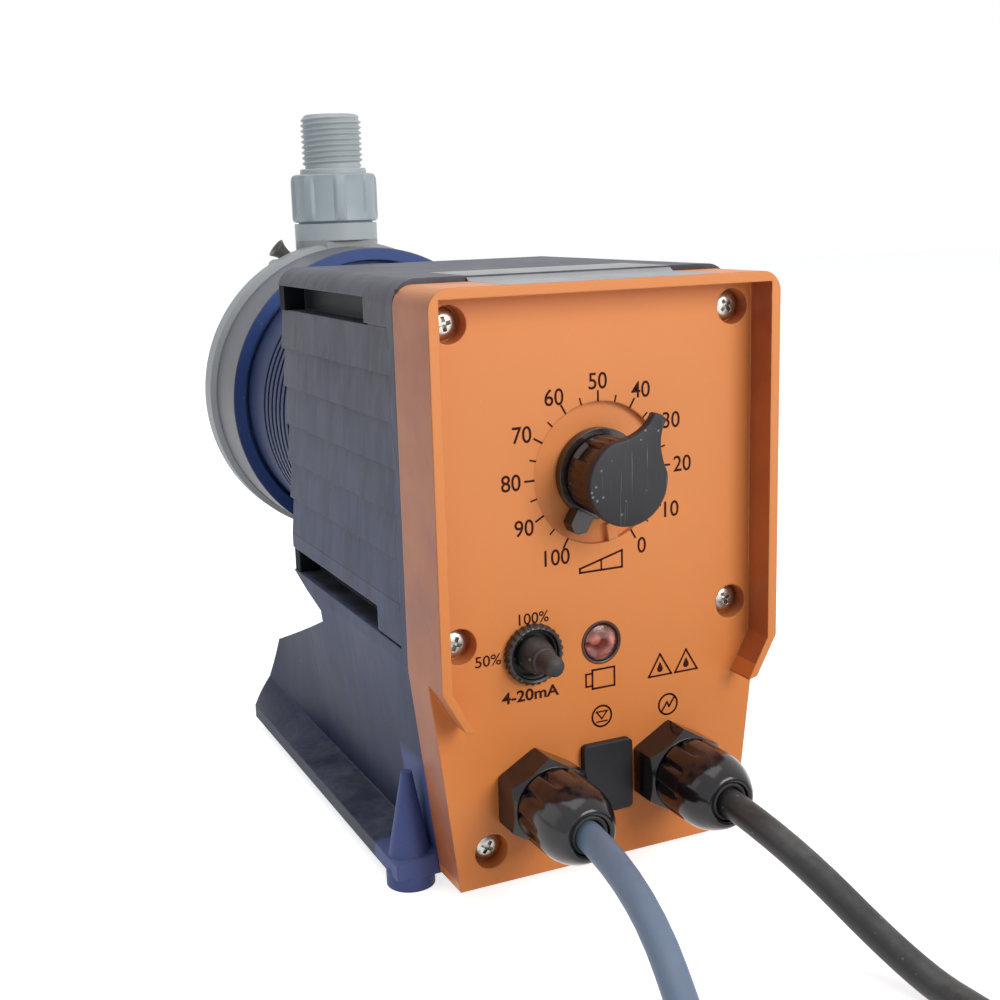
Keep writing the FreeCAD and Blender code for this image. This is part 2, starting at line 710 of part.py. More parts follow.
def make_stroke_knob():
    body = new_body("stroke_knob")
    grip = ring(new_sketch(body, "XY_Plane", "grip_outline", KNOB_BASE), "knob_radius")
    extrude(body, "Pad", grip, "grip", "knob_front - %s" % KNOB_BASE)
    cap = ring(new_sketch(body, "XY_Plane", "cap_outline", "knob_front - knob_cap_thickness"), "knob_cap_radius")
    extrude(body, "Pad", cap, "knob_cap", "knob_cap_thickness")
    towards = "(90 - knob_nose_angle)"
    # The nose leaves the round cap in a hollow curve and ends blunt: how far out, and its half width.
    flank = [("knob_cap_radius * 0.62", "knob_cap_radius * 0.78")]
    for out, share in (("knob_cap_radius * 0.86", 0.584), ("knob_cap_radius * 1.08", 0.276),
                       ("knob_cap_radius * 1.33", 0.10)):
        flank.append((out, "(knob_nose_half_width + (knob_cap_radius * 0.78 - knob_nose_half_width) * %g)" % share))
    flank.append(("knob_nose_reach - 1.4", "knob_nose_half_width"))
    flank.append(("knob_nose_reach", "(knob_nose_half_width - 1.1)"))
    nose = [turned_by(out, "-" + half, towards) for out, half in flank]
    nose += [turned_by(out, half, towards) for out, half in reversed(flank)]
    nose_sketch = loop(new_sketch(body, "XY_Plane", "nose_outline", "knob_front - knob_cap_thickness"), nose)
    extrude(body, "Pad", nose_sketch, "knob_nose", "knob_cap_thickness")
    slot = loop(new_sketch(body, "XY_Plane", "grip_slot_outline", KNOB_BASE + " - 1"),
                box("-knob_radius - 1", "-knob_radius + 1.3", "-3", "1.5"))
    extrude(body, "Pocket", slot, "grip_slot", "6", reverse=True)
    bore = ring(new_sketch(body, "XY_Plane", "spindle_seat_outline", KNOB_BASE + " - 1"),
                "spindle_radius + spindle_clearance")
    extrude(body, "Pocket", bore, "spindle_seat", "knob_front - knob_cap_thickness", reverse=True)
    return on_panel(body, "0", "dial_z")


def make_pointer_ring():
    body = new_body("knob_pointer_ring")
    start = "dial_gap - dial_recess_depth"
    base = ring(new_sketch(body, "XY_Plane", "ring_outline", start), "ring_radius")
    extrude(body, "Pad", base, "pointer_base", "ring_height")
    towards = "(270 - knob_nose_angle)"
    lug = [
        turned_by("ring_radius - 2.5", "-lug_half_width", towards),
        turned_by("lug_reach - 1.4", "-lug_half_width", towards),
        turned_by("lug_reach", "-0.5", towards),
        turned_by("lug_reach", "0.5", towards),
        turned_by("lug_reach - 1.4", "lug_half_width", towards),
        turned_by("ring_radius - 2.5", "lug_half_width", towards),
    ]
    point = loop(new_sketch(body, "XY_Plane", "pointer_outline", start), lug)
    extrude(body, "Pad", point, "pointer", "ring_height")
    raised = list(lug)
    raised[0] = turned_by("knob_radius + 0.4", "-lug_half_width", towards)
    raised[5] = turned_by("knob_radius + 0.4", "lug_half_width", towards)
    hump = loop(new_sketch(body, "XY_Plane", "pointer_hump_outline", start + " + ring_height"), raised)
    extrude(body, "Pad", hump, "pointer_hump", "lug_height - ring_height")
    bore = ring(new_sketch(body, "XY_Plane", "ring_bore_outline", start + " - 1"),
                "spindle_radius + spindle_clearance")
    extrude(body, "Pocket", bore, "ring_bore", "ring_height + 2", reverse=True)
    return on_panel(body, "0", "dial_z")


# The armature's rest place, measured from the panel's face along the spindle.
YOKE_FRONT_Y = "(body_rear_y - body_wall - yoke_length)"
POLE_FACE_Y = "(body_rear_y - body_wall - yoke_wall - 2 - pole_length)"
ARMATURE_REAR_Y = "(%s - stroke - fit)" % POLE_FACE_Y
ARMATURE_FRONT_Y = "(%s - armature_length)" % ARMATURE_REAR_Y


def make_spindle():
    tail = "-(%s - %s - fit)" % (ARMATURE_FRONT_Y, PANEL_Y)
    body = turned("stroke_spindle", [
        ("0", "knob_front - knob_cap_thickness - 1.5"),
        ("spindle_radius", "knob_front - knob_cap_thickness - 1.5"),
        ("spindle_radius", "-cover_wall - dial_recess_depth - 7"),
        ("spindle_collar_radius", "-cover_wall - dial_recess_depth - 7"),
        ("spindle_collar_radius", "-cover_wall - dial_recess_depth - 9"),
        ("spindle_radius", "-cover_wall - dial_recess_depth - 9"),
        ("spindle_radius", tail + " + 3"),
        ("spindle_collar_radius + 2", tail + " + 3"),
        ("spindle_collar_radius + 2", tail),
        ("0", tail),
    ])
    return on_panel(body, "0", "dial_z")


def make_spindle_bush():
    """The threaded bush that guides the spindle, seated on the panel's back."""
    body = turned("spindle_bush", [
        ("spindle_radius + spindle_clearance", "-cover_wall - dial_recess_depth - 6.6"),
        ("bush_radius", "-cover_wall - dial_recess_depth - 6.6"),
        ("bush_radius", "-cover_wall - dial_recess_depth - 2"),
        ("bush_radius + 2.5", "-cover_wall - dial_recess_depth - 2"),
        ("bush_radius + 2.5", "-cover_wall"),
        ("spindle_radius + spindle_clearance", "-cover_wall"),
    ])
    return on_panel(body, "0", "dial_z")


# Mode switch: a sealed toggle with its box behind the panel, a ring nut and a rubber boot.
def make_switch():
    body = turned("toggle_switch_body", [
        ("0", "-cover_wall - switch_body_depth"),
        ("switch_body_width / 2", "-cover_wall - switch_body_depth"),
        ("switch_body_width / 2", "-cover_wall"),
        ("switch_thread_radius", "-cover_wall"),
        ("switch_thread_radius", "-0.6"),
        ("2.75", "-0.6"),
        ("2.75", "-switch_pivot_depth - 2.9"),
        ("0", "-switch_pivot_depth - 2.9"),
    ])
    on_panel(body, "switch_x", "switch_z")

    nut = turned("toggle_ring_nut", [
        ("switch_boot_radius + 1.5", "0"),
        ("switch_ring_radius", "0"),
        ("switch_ring_radius", "switch_ring_height - 0.6"),
        ("switch_ring_radius - 0.6", "switch_ring_height"),
        ("switch_boot_radius + 1.9", "switch_ring_height"),
        ("switch_boot_radius + 1.5", "switch_ring_height - 0.5"),
    ])
    on_panel(nut, "switch_x", "switch_z")

    tip = "switch_boot_length"
    lever = turned("toggle_lever", [
        ("0", "-switch_pivot_depth - 2.5"),
        ("1.6", "-switch_pivot_depth - 2"),
        ("2.5", "-switch_pivot_depth"),
        ("switch_lever_radius", "-switch_pivot_depth + 1.9"),
        ("switch_lever_radius", tip + " - 1"),
        ("0", tip + " - 1"),
    ])
    on_panel(lever, "switch_x", "switch_z")

    boot = turned("toggle_boot", [
        ("switch_lever_radius", "0.6"),
        ("switch_boot_radius", "0.6"),
        ("switch_boot_radius - 0.2", "2.6"),
        ("switch_boot_tip_radius + 0.9", "4.4"),
        ("switch_boot_tip_radius + 0.5", tip + " - 4"),
        ("switch_boot_tip_radius + 0.3", tip + " - 1"),
        ("switch_boot_tip_radius - 0.6", tip + " + 0.6"),
        ("0", tip + " + 1"),
        ("0", tip + " - 1"),
        ("switch_lever_radius", tip + " - 1"),
    ])
    on_panel(boot, "switch_x", "switch_z")


def make_lamp():
    body = turned("led_lens", [
        ("0", "-cover_wall - 5"),
        ("lamp_radius - 0.6", "-cover_wall - 5"),
        ("lamp_radius - 0.6", "-cover_wall - 1.6"),
        ("lamp_radius + 1.2", "-cover_wall - 1.6"),
        ("lamp_radius + 1.2", "-cover_wall"),
        ("lamp_radius", "-cover_wall"),
        ("lamp_radius", "-lamp_recess"),
        ("lamp_radius * 0.75", "-lamp_recess + lamp_dome * 0.6"),
        ("lamp_radius * 0.4", "-lamp_recess + lamp_dome * 0.9"),
        ("0", "-lamp_recess + lamp_dome"),
    ])
    return on_panel(body, "0", "lamp_z")


# Blanking cap over the spare socket: a lidded rubber plug, and the socket's open box behind it.
def make_blanking_cap():
    body = new_body("blanking_cap")
    lid = loop(new_sketch(body, "XY_Plane", "cap_lid_outline"),
               box("-cap_width / 2", "cap_width / 2", "-cap_height / 2", "cap_height / 2"))
    extrude(body, "Pad", lid, "cap_lid", "cap_proud")
    rounded(body, "lid_corners", "1.2", lambda e: runs_along(e, 2))
    plug = loop(new_sketch(body, "XY_Plane", "cap_plug_outline", "-5"),
                box("-cap_width / 2 + cap_flange + fit", "cap_width / 2 - cap_flange - fit",
                    "-cap_height / 2 + cap_flange + fit", "cap_height / 2 - cap_flange - fit"))
    extrude(body, "Pad", plug, "cap_plug", "5")
    return on_panel(body, "cap_x", "cap_z")


def make_option_socket():
    body = new_body("option_socket")
    across = "cap_width / 2 - 0.4"
    upright = "cap_height / 2 - 0.4"
    shell = new_sketch(body, "XY_Plane", "socket_outline", "-cover_wall - socket_depth")
    loop(shell, box("-(%s)" % across, across, "-(%s)" % upright, upright))
    extrude(body, "Pad", shell, "socket_block", "socket_depth")
    mouth = loop(new_sketch(body, "XY_Plane", "socket_mouth_outline", "-cover_wall"),
                 box("-(%s - socket_wall)" % across, "%s - socket_wall" % across,
                     "-(%s - socket_wall)" % upright, "%s - socket_wall" % upright))
    extrude(body, "Pocket", mouth, "socket_mouth", "socket_depth - 2")
    return on_panel(body, "cap_x", "cap_z")


# Cable glands: a hexagonal body through the panel, a domed nut, and a locknut behind.
def make_gland(name, x):
    hole = "cord_radius + cord_clearance"
    body = new_body(name + "_gland_body")
    hexagon = loop(new_sketch(body, "XY_Plane", name + "_gland_hexagon"),
                   polygon_points(6, "gland_hex / 2 / cos(30)", 90.0))
    extrude(body, "Pad", hexagon, name + "_gland_base", "gland_base_length")
    neck = ring(new_sketch(body, "XY_Plane", name + "_gland_thread_outline", "-gland_thread_length"),
                "gland_thread_radius")
    extrude(body, "Pad", neck, name + "_gland_thread", "gland_thread_length")
    bore = ring(new_sketch(body, "XY_Plane", name + "_gland_bore_outline", "-gland_thread_length - 1"), hole)
    extrude(body, "Pocket", bore, name + "_gland_bore", "gland_thread_length + gland_base_length + 2", reverse=True)
    on_panel(body, x, "gland_z")

    start = "gland_base_length + gland_gap"
    end = "(gland_base_length + gland_gap + gland_nut_length)"
    nut = turned(name + "_gland_nut", [
        (hole, start),
        ("gland_nut_radius - 0.4", start),
        ("gland_nut_radius", start + " + 0.5"),
        ("gland_nut_radius", end + " - 8.6"),
        ("gland_nut_radius * 0.955", end + " - 6.2"),
        ("gland_nut_radius * 0.86", end + " - 3.6"),
        ("gland_nut_radius * 0.74", end + " - 1.4"),
        ("gland_nut_radius * 0.64", end),
        ("gland_mouth_radius", end),
        (hole, end + " - 2.4"),
    ])
    # Grip flutes round the rear half of the nut.
    flutes = new_sketch(nut, "XY_Plane", name + "_flute_outline", start + " - 1")
    for place_x, place_y in polygon_points(int(size("gland_flutes")), "gland_nut_radius + gland_flute_radius * 0.4"):
        ring(flutes, "gland_flute_radius", place_x, place_y)
    extrude(nut, "Pocket", flutes, name + "_gland_flutes", "gland_flute_length + 1", reverse=True)
    on_panel(nut, x, "gland_z")

    locknut = new_body(name + "_gland_locknut")
    outline = new_sketch(locknut, "XY_Plane", name + "_locknut_outline", "-cover_wall - locknut_height")
    loop(outline, polygon_points(6, "locknut_hex / 2 / cos(30)", 90.0))
    ring(outline, "gland_thread_radius + 0.1")
    extrude(locknut, "Pad", outline, name + "_locknut_pad", "locknut_height")
    on_panel(locknut, x, "gland_z")


def make_cover_screws():
    """Six pan-head screws that hold the cover to the housing's posts."""
    screws = []
    for k, (x, z) in enumerate(cover_screw_places()):
        seat = PANEL_Y + " + screw_recess_depth"
        shank = cylinder("cover_shank_%d" % k, "screw_shank_radius", "screw_length", x, seat, z, TO_REAR)
        head = cylinder("cover_head_%d" % k, "screw_head_radius", "screw_head_height", x, seat, z, TO_FRONT)
        screws.append(joined("cover_screw_%d" % k, [shank, head]))
    return group("cover_screws", screws)


def make_circuit_board():
    """The control board on the cover's pillars, cut away round the spindle."""
    body = new_body("circuit_board")
    board = new_sketch(body, "XZ_Plane", "board_outline", "-board_y")
    loop(board, box("-board_width / 2", "board_width / 2", "board_bottom", "board_top"))
    ring(board, "spindle_collar_radius + 1", "0", "dial_z")
    extrude(body, "Pad", board, "board", "board_thickness", reverse=True)
    parts = new_sketch(body, "XZ_Plane", "board_parts_outline", "-board_y - board_thickness")
    loop(parts, box("-24", "-10", "46", "64"))
    loop(parts, box("8", "22", "46", "58"))
    loop(parts, box("-20", "-8", "122", "134"))
    ring(parts, "5", "17", "128")
    extrude(body, "Pad", parts, "board_parts", "8", reverse=True)
    return body


# Solenoid drive on the pump's axis: its own Z points to the dosing head.
def on_axis(thing, y="0"):
    return place(thing, "0", y, "axis_z", TO_REAR)


def make_drive():
    floor = "yoke_length - yoke_wall - 2"
    pole = "(yoke_length - yoke_wall - 2 - pole_length)"
    yoke = turned("magnet_yoke", [
        ("rod_radius + fit", pole),
        ("pole_radius", pole),
        ("pole_radius", floor),
        ("yoke_radius - yoke_wall", floor),
        ("yoke_radius - yoke_wall", "0"),
        ("yoke_radius", "0"),
        ("yoke_radius", "yoke_length"),
        ("rod_radius + fit", "yoke_length"),
    ], holes=[bored("spring_radius + spring_wire + 0.4", pole + " - 1", pole + " + 8")])
    on_axis(yoke, YOKE_FRONT_Y)

    plate = turned("yoke_plate", [
        ("armature_radius + fit", "0"),
        ("yoke_radius - yoke_wall - 0.05", "0"),
        ("yoke_radius - yoke_wall - 0.05", "yoke_wall"),
        ("armature_radius + fit", "yoke_wall"),
    ])
    on_axis(plate, YOKE_FRONT_Y)

    winding = turned("solenoid_coil", [
        ("coil_bore_radius", "yoke_wall + fit"),
        ("winding_radius", "yoke_wall + fit"),
        ("winding_radius", "yoke_wall + 2"),
        ("winding_radius - 0.8", "yoke_wall + 2"),
        ("winding_radius - 0.8", floor + " - 2"),
        ("winding_radius", floor + " - 2"),
        ("winding_radius", floor + " - fit"),
        ("coil_bore_radius", floor + " - fit"),
    ])
    on_axis(winding, YOKE_FRONT_Y)

    armature = turned("armature", [
        ("0", "0"),
        ("armature_radius - 1", "0"),
        ("armature_radius", "1"),
        ("armature_radius", "armature_length"),
        ("rod_radius", "armature_length"),
        ("rod_radius", "armature_length - 12"),
        ("0", "armature_length - 12"),
    ])
    on_axis(armature, ARMATURE_FRONT_Y)

    rod_start = "(%s - 12)" % ARMATURE_REAR_Y
    rod_end = "(%s - diaphragm_thickness / 2 - 2)" % HEAD_Y
    rod = turned("push_rod", [
        ("0", "0"),
        ("rod_radius", "0"),
        ("rod_radius", "%s - %s - 1" % (rod_end, rod_start)),
        ("rod_radius - 1", "%s - %s" % (rod_end, rod_start)),
        ("0", "%s - %s" % (rod_end, rod_start)),
    ])
    on_axis(rod, rod_start)

    bush = turned("rod_bush", [
        ("rod_radius + rod_clearance", "-body_wall + 0.2"),
        ("rod_bush_radius", "-body_wall + 0.2"),
        ("rod_bush_radius", "drum_wall"),
        ("rod_bush_radius + 3", "drum_wall"),
        ("rod_bush_radius + 3", "drum_wall + 2.5"),
        ("rod_bush_radius", "drum_wall + 2.5"),
        ("rod_bush_radius", "drum_wall + 9"),
        ("rod_radius + rod_clearance", "drum_wall + 9"),
    ])
    on_axis(bush, "body_rear_y")

    # Coil spring between the armature and the bottom of the pole's counterbore.
    spring = new_body("return_spring")
    wire = new_sketch(spring, "XZ_Plane", "spring_wire_outline")
    ring(wire, "spring_wire", "spring_radius", "spring_wire")
    sketch_axis = (wire, ["V_Axis"])
    helix = spring.newObject("PartDesign::AdditiveHelix", "spring_coils")
    helix.Profile = wire
    helix.ReferenceAxis = sketch_axis
    helix.Mode = 1
    spring_length = "stroke + 8 - 2 * spring_wire"
    bind(helix, Height=spring_length, Turns="spring_turns", Pitch="(%s) / spring_turns" % spring_length)
    on_axis(spring, ARMATURE_REAR_Y + " + fit / 2")


# Adapter drum: a ribbed cup that carries the head clear of the housing.
def make_adapter():
    length = "(drum_rear_y - body_rear_y)"
    body = turned("drive_adapter", [
        ("rod_bush_radius + 0.1", "0"),
        ("drum_radius", "0"),
        ("drum_radius", length),
        ("drum_radius - drum_wall", length),
        ("drum_radius - drum_wall", "drum_wall"),
        ("rod_bush_radius + 0.1", "drum_wall"),
    ])
    groove = [
        ("drum_radius - rib_depth", "rib_start"),
        ("drum_radius + 1", "rib_start"),
        ("drum_radius + 1", "rib_start + rib_groove"),
        ("drum_radius - rib_depth", "rib_start + rib_groove"),
    ]
    sketch = loop(new_sketch(body, "XZ_Plane", "rib_groove_outline"), groove)
    cut = body.newObject("PartDesign::Groove", "rib_groove_cut")
    cut.Profile = sketch
    cut.ReferenceAxis = (sketch, ["V_Axis"])
    cut.Angle = 360
    doc.recompute()
    rows = body.newObject("PartDesign::LinearPattern", "rib_grooves")
    rows.Originals = [cut]
    rows.Direction = (sketch, ["V_Axis"])
    bind(rows, Length="(rib_count - 1) * rib_pitch", Occurrences="rib_count")
    body.Tip = rows
    holes = new_sketch(body, "XY_Plane", "adapter_hole_outline")
    for x, z in adapter_screw_places():
        ring(holes, "2.6", x, z)
    extrude(body, "Pocket", holes, "adapter_holes", "drum_wall", reverse=True)
    return on_axis(body, "body_rear_y")


def adapter_screw_places():
    reach = "(yoke_radius + 6) * sin(45)"
    return [(a + reach, b + reach) for a in ("-", "") for b in ("-", "")]


def make_adapter_screws():
    screws = []
    for k, (x, z) in enumerate(adapter_screw_places()):
        seat = "body_rear_y + drum_wall"
        height = "axis_z + " + z
        shank = cylinder("adapter_shank_%d" % k, "2.1", "drum_wall + body_wall + 2", x, seat, height, TO_FRONT)
        head = cylinder("adapter_head_%d" % k, "4.2", "4", x, seat, height, TO_REAR)
        screws.append(joined("adapter_screw_%d" % k, [shank, head]))
    return group("adapter_screws", screws)


def head_screw_places():
    """Six socket screws, three a side, clear of the block that carries the valves."""
    angles = (-40, 0, 40, 140, 180, 220)
    return [("head_screw_circle * cos(%d)" % a, "head_screw_circle * sin(%d)" % a) for a in angles]


def make_head_plate():
    body = turned("head_plate", [
        ("24", "0"),
        ("plate_radius", "0"),
        ("plate_radius", "plate_thickness"),
        (DIAPHRAGM_RADIUS + " + fit", "plate_thickness"),
        (DIAPHRAGM_RADIUS + " + fit", "plate_thickness - diaphragm_thickness / 2"),
        ("core_disc_radius + 8", "plate_thickness - diaphragm_thickness / 2"),
        ("core_disc_radius + 8", "6"),
        ("24", "6"),
    ], holes=[
        # The dark groove that leaves a raised rim on the plate's front face.
        [
            ("plate_radius - plate_rim - 1.3", "-1"),
            ("plate_radius - plate_rim", "-1"),
            ("plate_radius - plate_rim", "plate_groove_depth"),
            ("plate_radius - plate_rim - 1.3", "plate_groove_depth"),
        ],
    ])
    spigot = new_sketch(body, "XY_Plane", "plate_spigot_outline", "-3")
    ring(spigot, "drum_radius - drum_wall - fit / 2")
    ring(spigot, "24")
    extrude(body, "Pad", spigot, "plate_spigot", "3")
    holes = new_sketch(body, "XY_Plane", "plate_pilot_outline", "plate_thickness")
    for x, z in head_screw_places():
        ring(holes, "head_screw_radius + thread_clearance", x, z)
    extrude(body, "Pocket", holes, "plate_pilots", "head_screw_length - head_disc_thickness + 1.5")
    return on_axis(body, "drum_rear_y")


def make_diaphragm():
    half = "diaphragm_thickness / 2"
    body = turned("diaphragm", [
        ("core_disc_radius + fit", "-0.6"),
        ("core_disc_radius + 3", "-0.6"),
        ("core_disc_radius + 5.5", "0.5"),
        ("core_disc_radius + 8.5", "-" + half),
        (DIAPHRAGM_RADIUS, "-" + half),
        (DIAPHRAGM_RADIUS, half),
        ("core_disc_radius + 9", half),
        ("core_disc_radius + 5.5", "1.7"),
        ("core_disc_radius + 3", "0.6"),
        ("core_disc_radius + fit", "0.6"),
    ])
    on_axis(body, HEAD_Y)

    core = turned("diaphragm_core", [
        ("0", "core_disc_thickness / 2"),
        ("core_disc_radius - 1.5", "core_disc_thickness / 2"),
        ("core_disc_radius", "core_disc_thickness / 2 - 1"),
        ("core_disc_radius", "-core_disc_thickness / 2"),
        ("8", "-core_disc_thickness / 2"),
        ("8", "-core_disc_thickness / 2 - 9"),
        ("rod_radius", "-core_disc_thickness / 2 - 9"),
        ("rod_radius", "-%s - 2" % half),
        ("0", "-%s - 2" % half),
    ])
    on_axis(core, HEAD_Y)


# Dosing head: the grey disc, its valve block, and the passages between valves and chamber.
def make_dosing_head():
    body = turned("head_casting", [
        ("0", "chamber_depth"),
        ("chamber_radius", "chamber_depth"),
        ("chamber_radius", "diaphragm_thickness / 2"),
        (DIAPHRAGM_RADIUS + " + fit", "diaphragm_thickness / 2"),
        (DIAPHRAGM_RADIUS + " + fit", "0"),
        ("head_radius - head_chamfer", "0"),
        ("head_radius", "head_chamfer"),
        ("head_radius", "head_disc_thickness - 1"),
        ("head_radius - 1", "head_disc_thickness"),
        ("0", "head_disc_thickness"),
    ])
    across, tall = "head_block_width / 2", "head_block_height / 2"
    block = loop(new_sketch(body, "XY_Plane", "block_outline", "chamber_depth + 2"),
                 box("-(%s)" % across, across, "-(%s)" % tall, tall))
    extrude(body, "Pad", block, "valve_block",
            "head_disc_thickness - chamber_depth - 2 + head_block_depth")
    rounded(body, "block_corners", "2.5",
            lambda e: runs_along(e, 2) and abs(e.Vertexes[0].X) > 15)

    # Round necks for the two valves; in this frame +Y of the sketch is the pump's down.
    centre = "(valve_y - %s)" % HEAD_Y
    neck = new_sketch(body, "XZ_Plane", "neck_outline", "-valve_base_z + axis_z")
    ring(neck, "valve_collar_radius", "0", centre)
    extrude(body, "Pad", neck, "lower_neck", "12")
    other = new_sketch(body, "XZ_Plane", "upper_neck_outline", "valve_base_z - axis_z")
    ring(other, "valve_collar_radius", "0", centre)
    extrude(body, "Pad", other, "upper_neck", "12", reverse=True)
    trim = loop(new_sketch(body, "YZ_Plane", "neck_trim_outline", "-valve_collar_radius - 5"),
                box("-(valve_base_z - axis_z) - 1", "valve_base_z - axis_z + 1", "-20", "0"))
    extrude(body, "Pocket", trim, "neck_trim", "2 * valve_collar_radius + 10", reverse=True)
    for name, offset, inwards in (("upper", "valve_base_z - axis_z", True), ("lower", "-valve_base_z + axis_z", False)):
        port = ring(new_sketch(body, "XZ_Plane", name + "_port_outline", offset), "port_radius", "0", centre)
        extrude(body, "Pocket", port, name + "_port", "port_depth", reverse=not inwards)
        way = ring(new_sketch(body, "XZ_Plane", name + "_way_outline", offset), "4", "0", centre)
        extrude(body, "Pocket", way, name + "_way",
                "valve_base_z - axis_z - chamber_radius + 10", reverse=not inwards)
    ways = new_sketch(body, "XY_Plane", "chamber_way_outline", "chamber_depth - 1")
    for sign in ("-", ""):
        ring(ways, "3", "0", sign + "(chamber_radius - 5)")
    extrude(body, "Pocket", ways, "chamber_ways", "%s - chamber_depth - 0.5" % centre, reverse=True)

    holes = new_sketch(body, "XY_Plane", "head_hole_outline", "-1")
    for x, z in head_screw_places():
        ring(holes, "head_screw_radius + 0.3", x, z)
    extrude(body, "Pocket", holes, "head_holes", "head_disc_thickness + 2", reverse=True)
    stem = new_sketch(body, "XY_Plane", "bleed_hole_outline", "head_disc_thickness + head_block_depth")
    ring(stem, "bleed_stem_radius + 0.1", "0", "-(bleed_z - axis_z)")
    extrude(body, "Pocket", stem, "bleed_hole", "12")
    return on_axis(body, HEAD_Y)


def nozzle_turn():
    """The bleed nozzle leans up and to the left."""
    return Rotation(Vector(0, 1, 0), -size("nozzle_tilt"))


def bored_for_nozzle(casting):
    """The dosing head with the slanting socket that holds the bleed nozzle."""
    tool = cylinder("nozzle_socket", "nozzle_radius + 0.15", "nozzle_length + 6",
                    "bleed_x", "nozzle_y", "nozzle_z", nozzle_turn())
    cut = doc.addObject("Part::Cut", "dosing_head")
    cut.Base = casting
    cut.Tool = tool
    cut.Label = "dosing_head"
    return cut


def make_head_screws():
    screws = []
    for k, (x, z) in enumerate(head_screw_places()):
        seat = HEAD_Y + " + head_disc_thickness"
        height = "axis_z - (%s)" % z
        shank = cylinder("head_shank_%d" % k, "head_screw_radius", "head_screw_length", x, seat, height, TO_FRONT)
        head = cylinder("head_head_%d" % k, "head_screw_head", "5", x, seat, height, TO_REAR)
        socket = doc.addObject("Part::Prism", "head_socket_%d" % k)
        socket.Polygon = 6
        bind(socket, Circumradius="2.3", Height="4")
        place(socket, x, seat + " + 2.5", height, TO_REAR)
        bolt = joined("head_bolt_%d" % k, [shank, head])
        cut = doc.addObject("Part::Cut", "head_screw_%d" % k)
        cut.Base = bolt
        cut.Tool = socket
        screws.append(cut)
    return group("head_screws", screws)


# Valves: a body screwed into the head, a seat, a ball in its cage, a seal, a nipple and a union nut.
SEAT_RISE = "(sqrt(ball_radius * ball_radius - seat_bore_radius * seat_bore_radius) + 0.1)"
BODY_TOP = "(valve_collar_height + valve_thread_height)"
NUT_START = "(valve_collar_height + 0.4)"
NUT_END = "(valve_collar_height + 0.4 + nut_height)"
FLANGE_TOP = "(%s - nut_top_wall - 0.1)" % NUT_END
PLUG_END = "(fit - port_depth)"
WEB = "3"


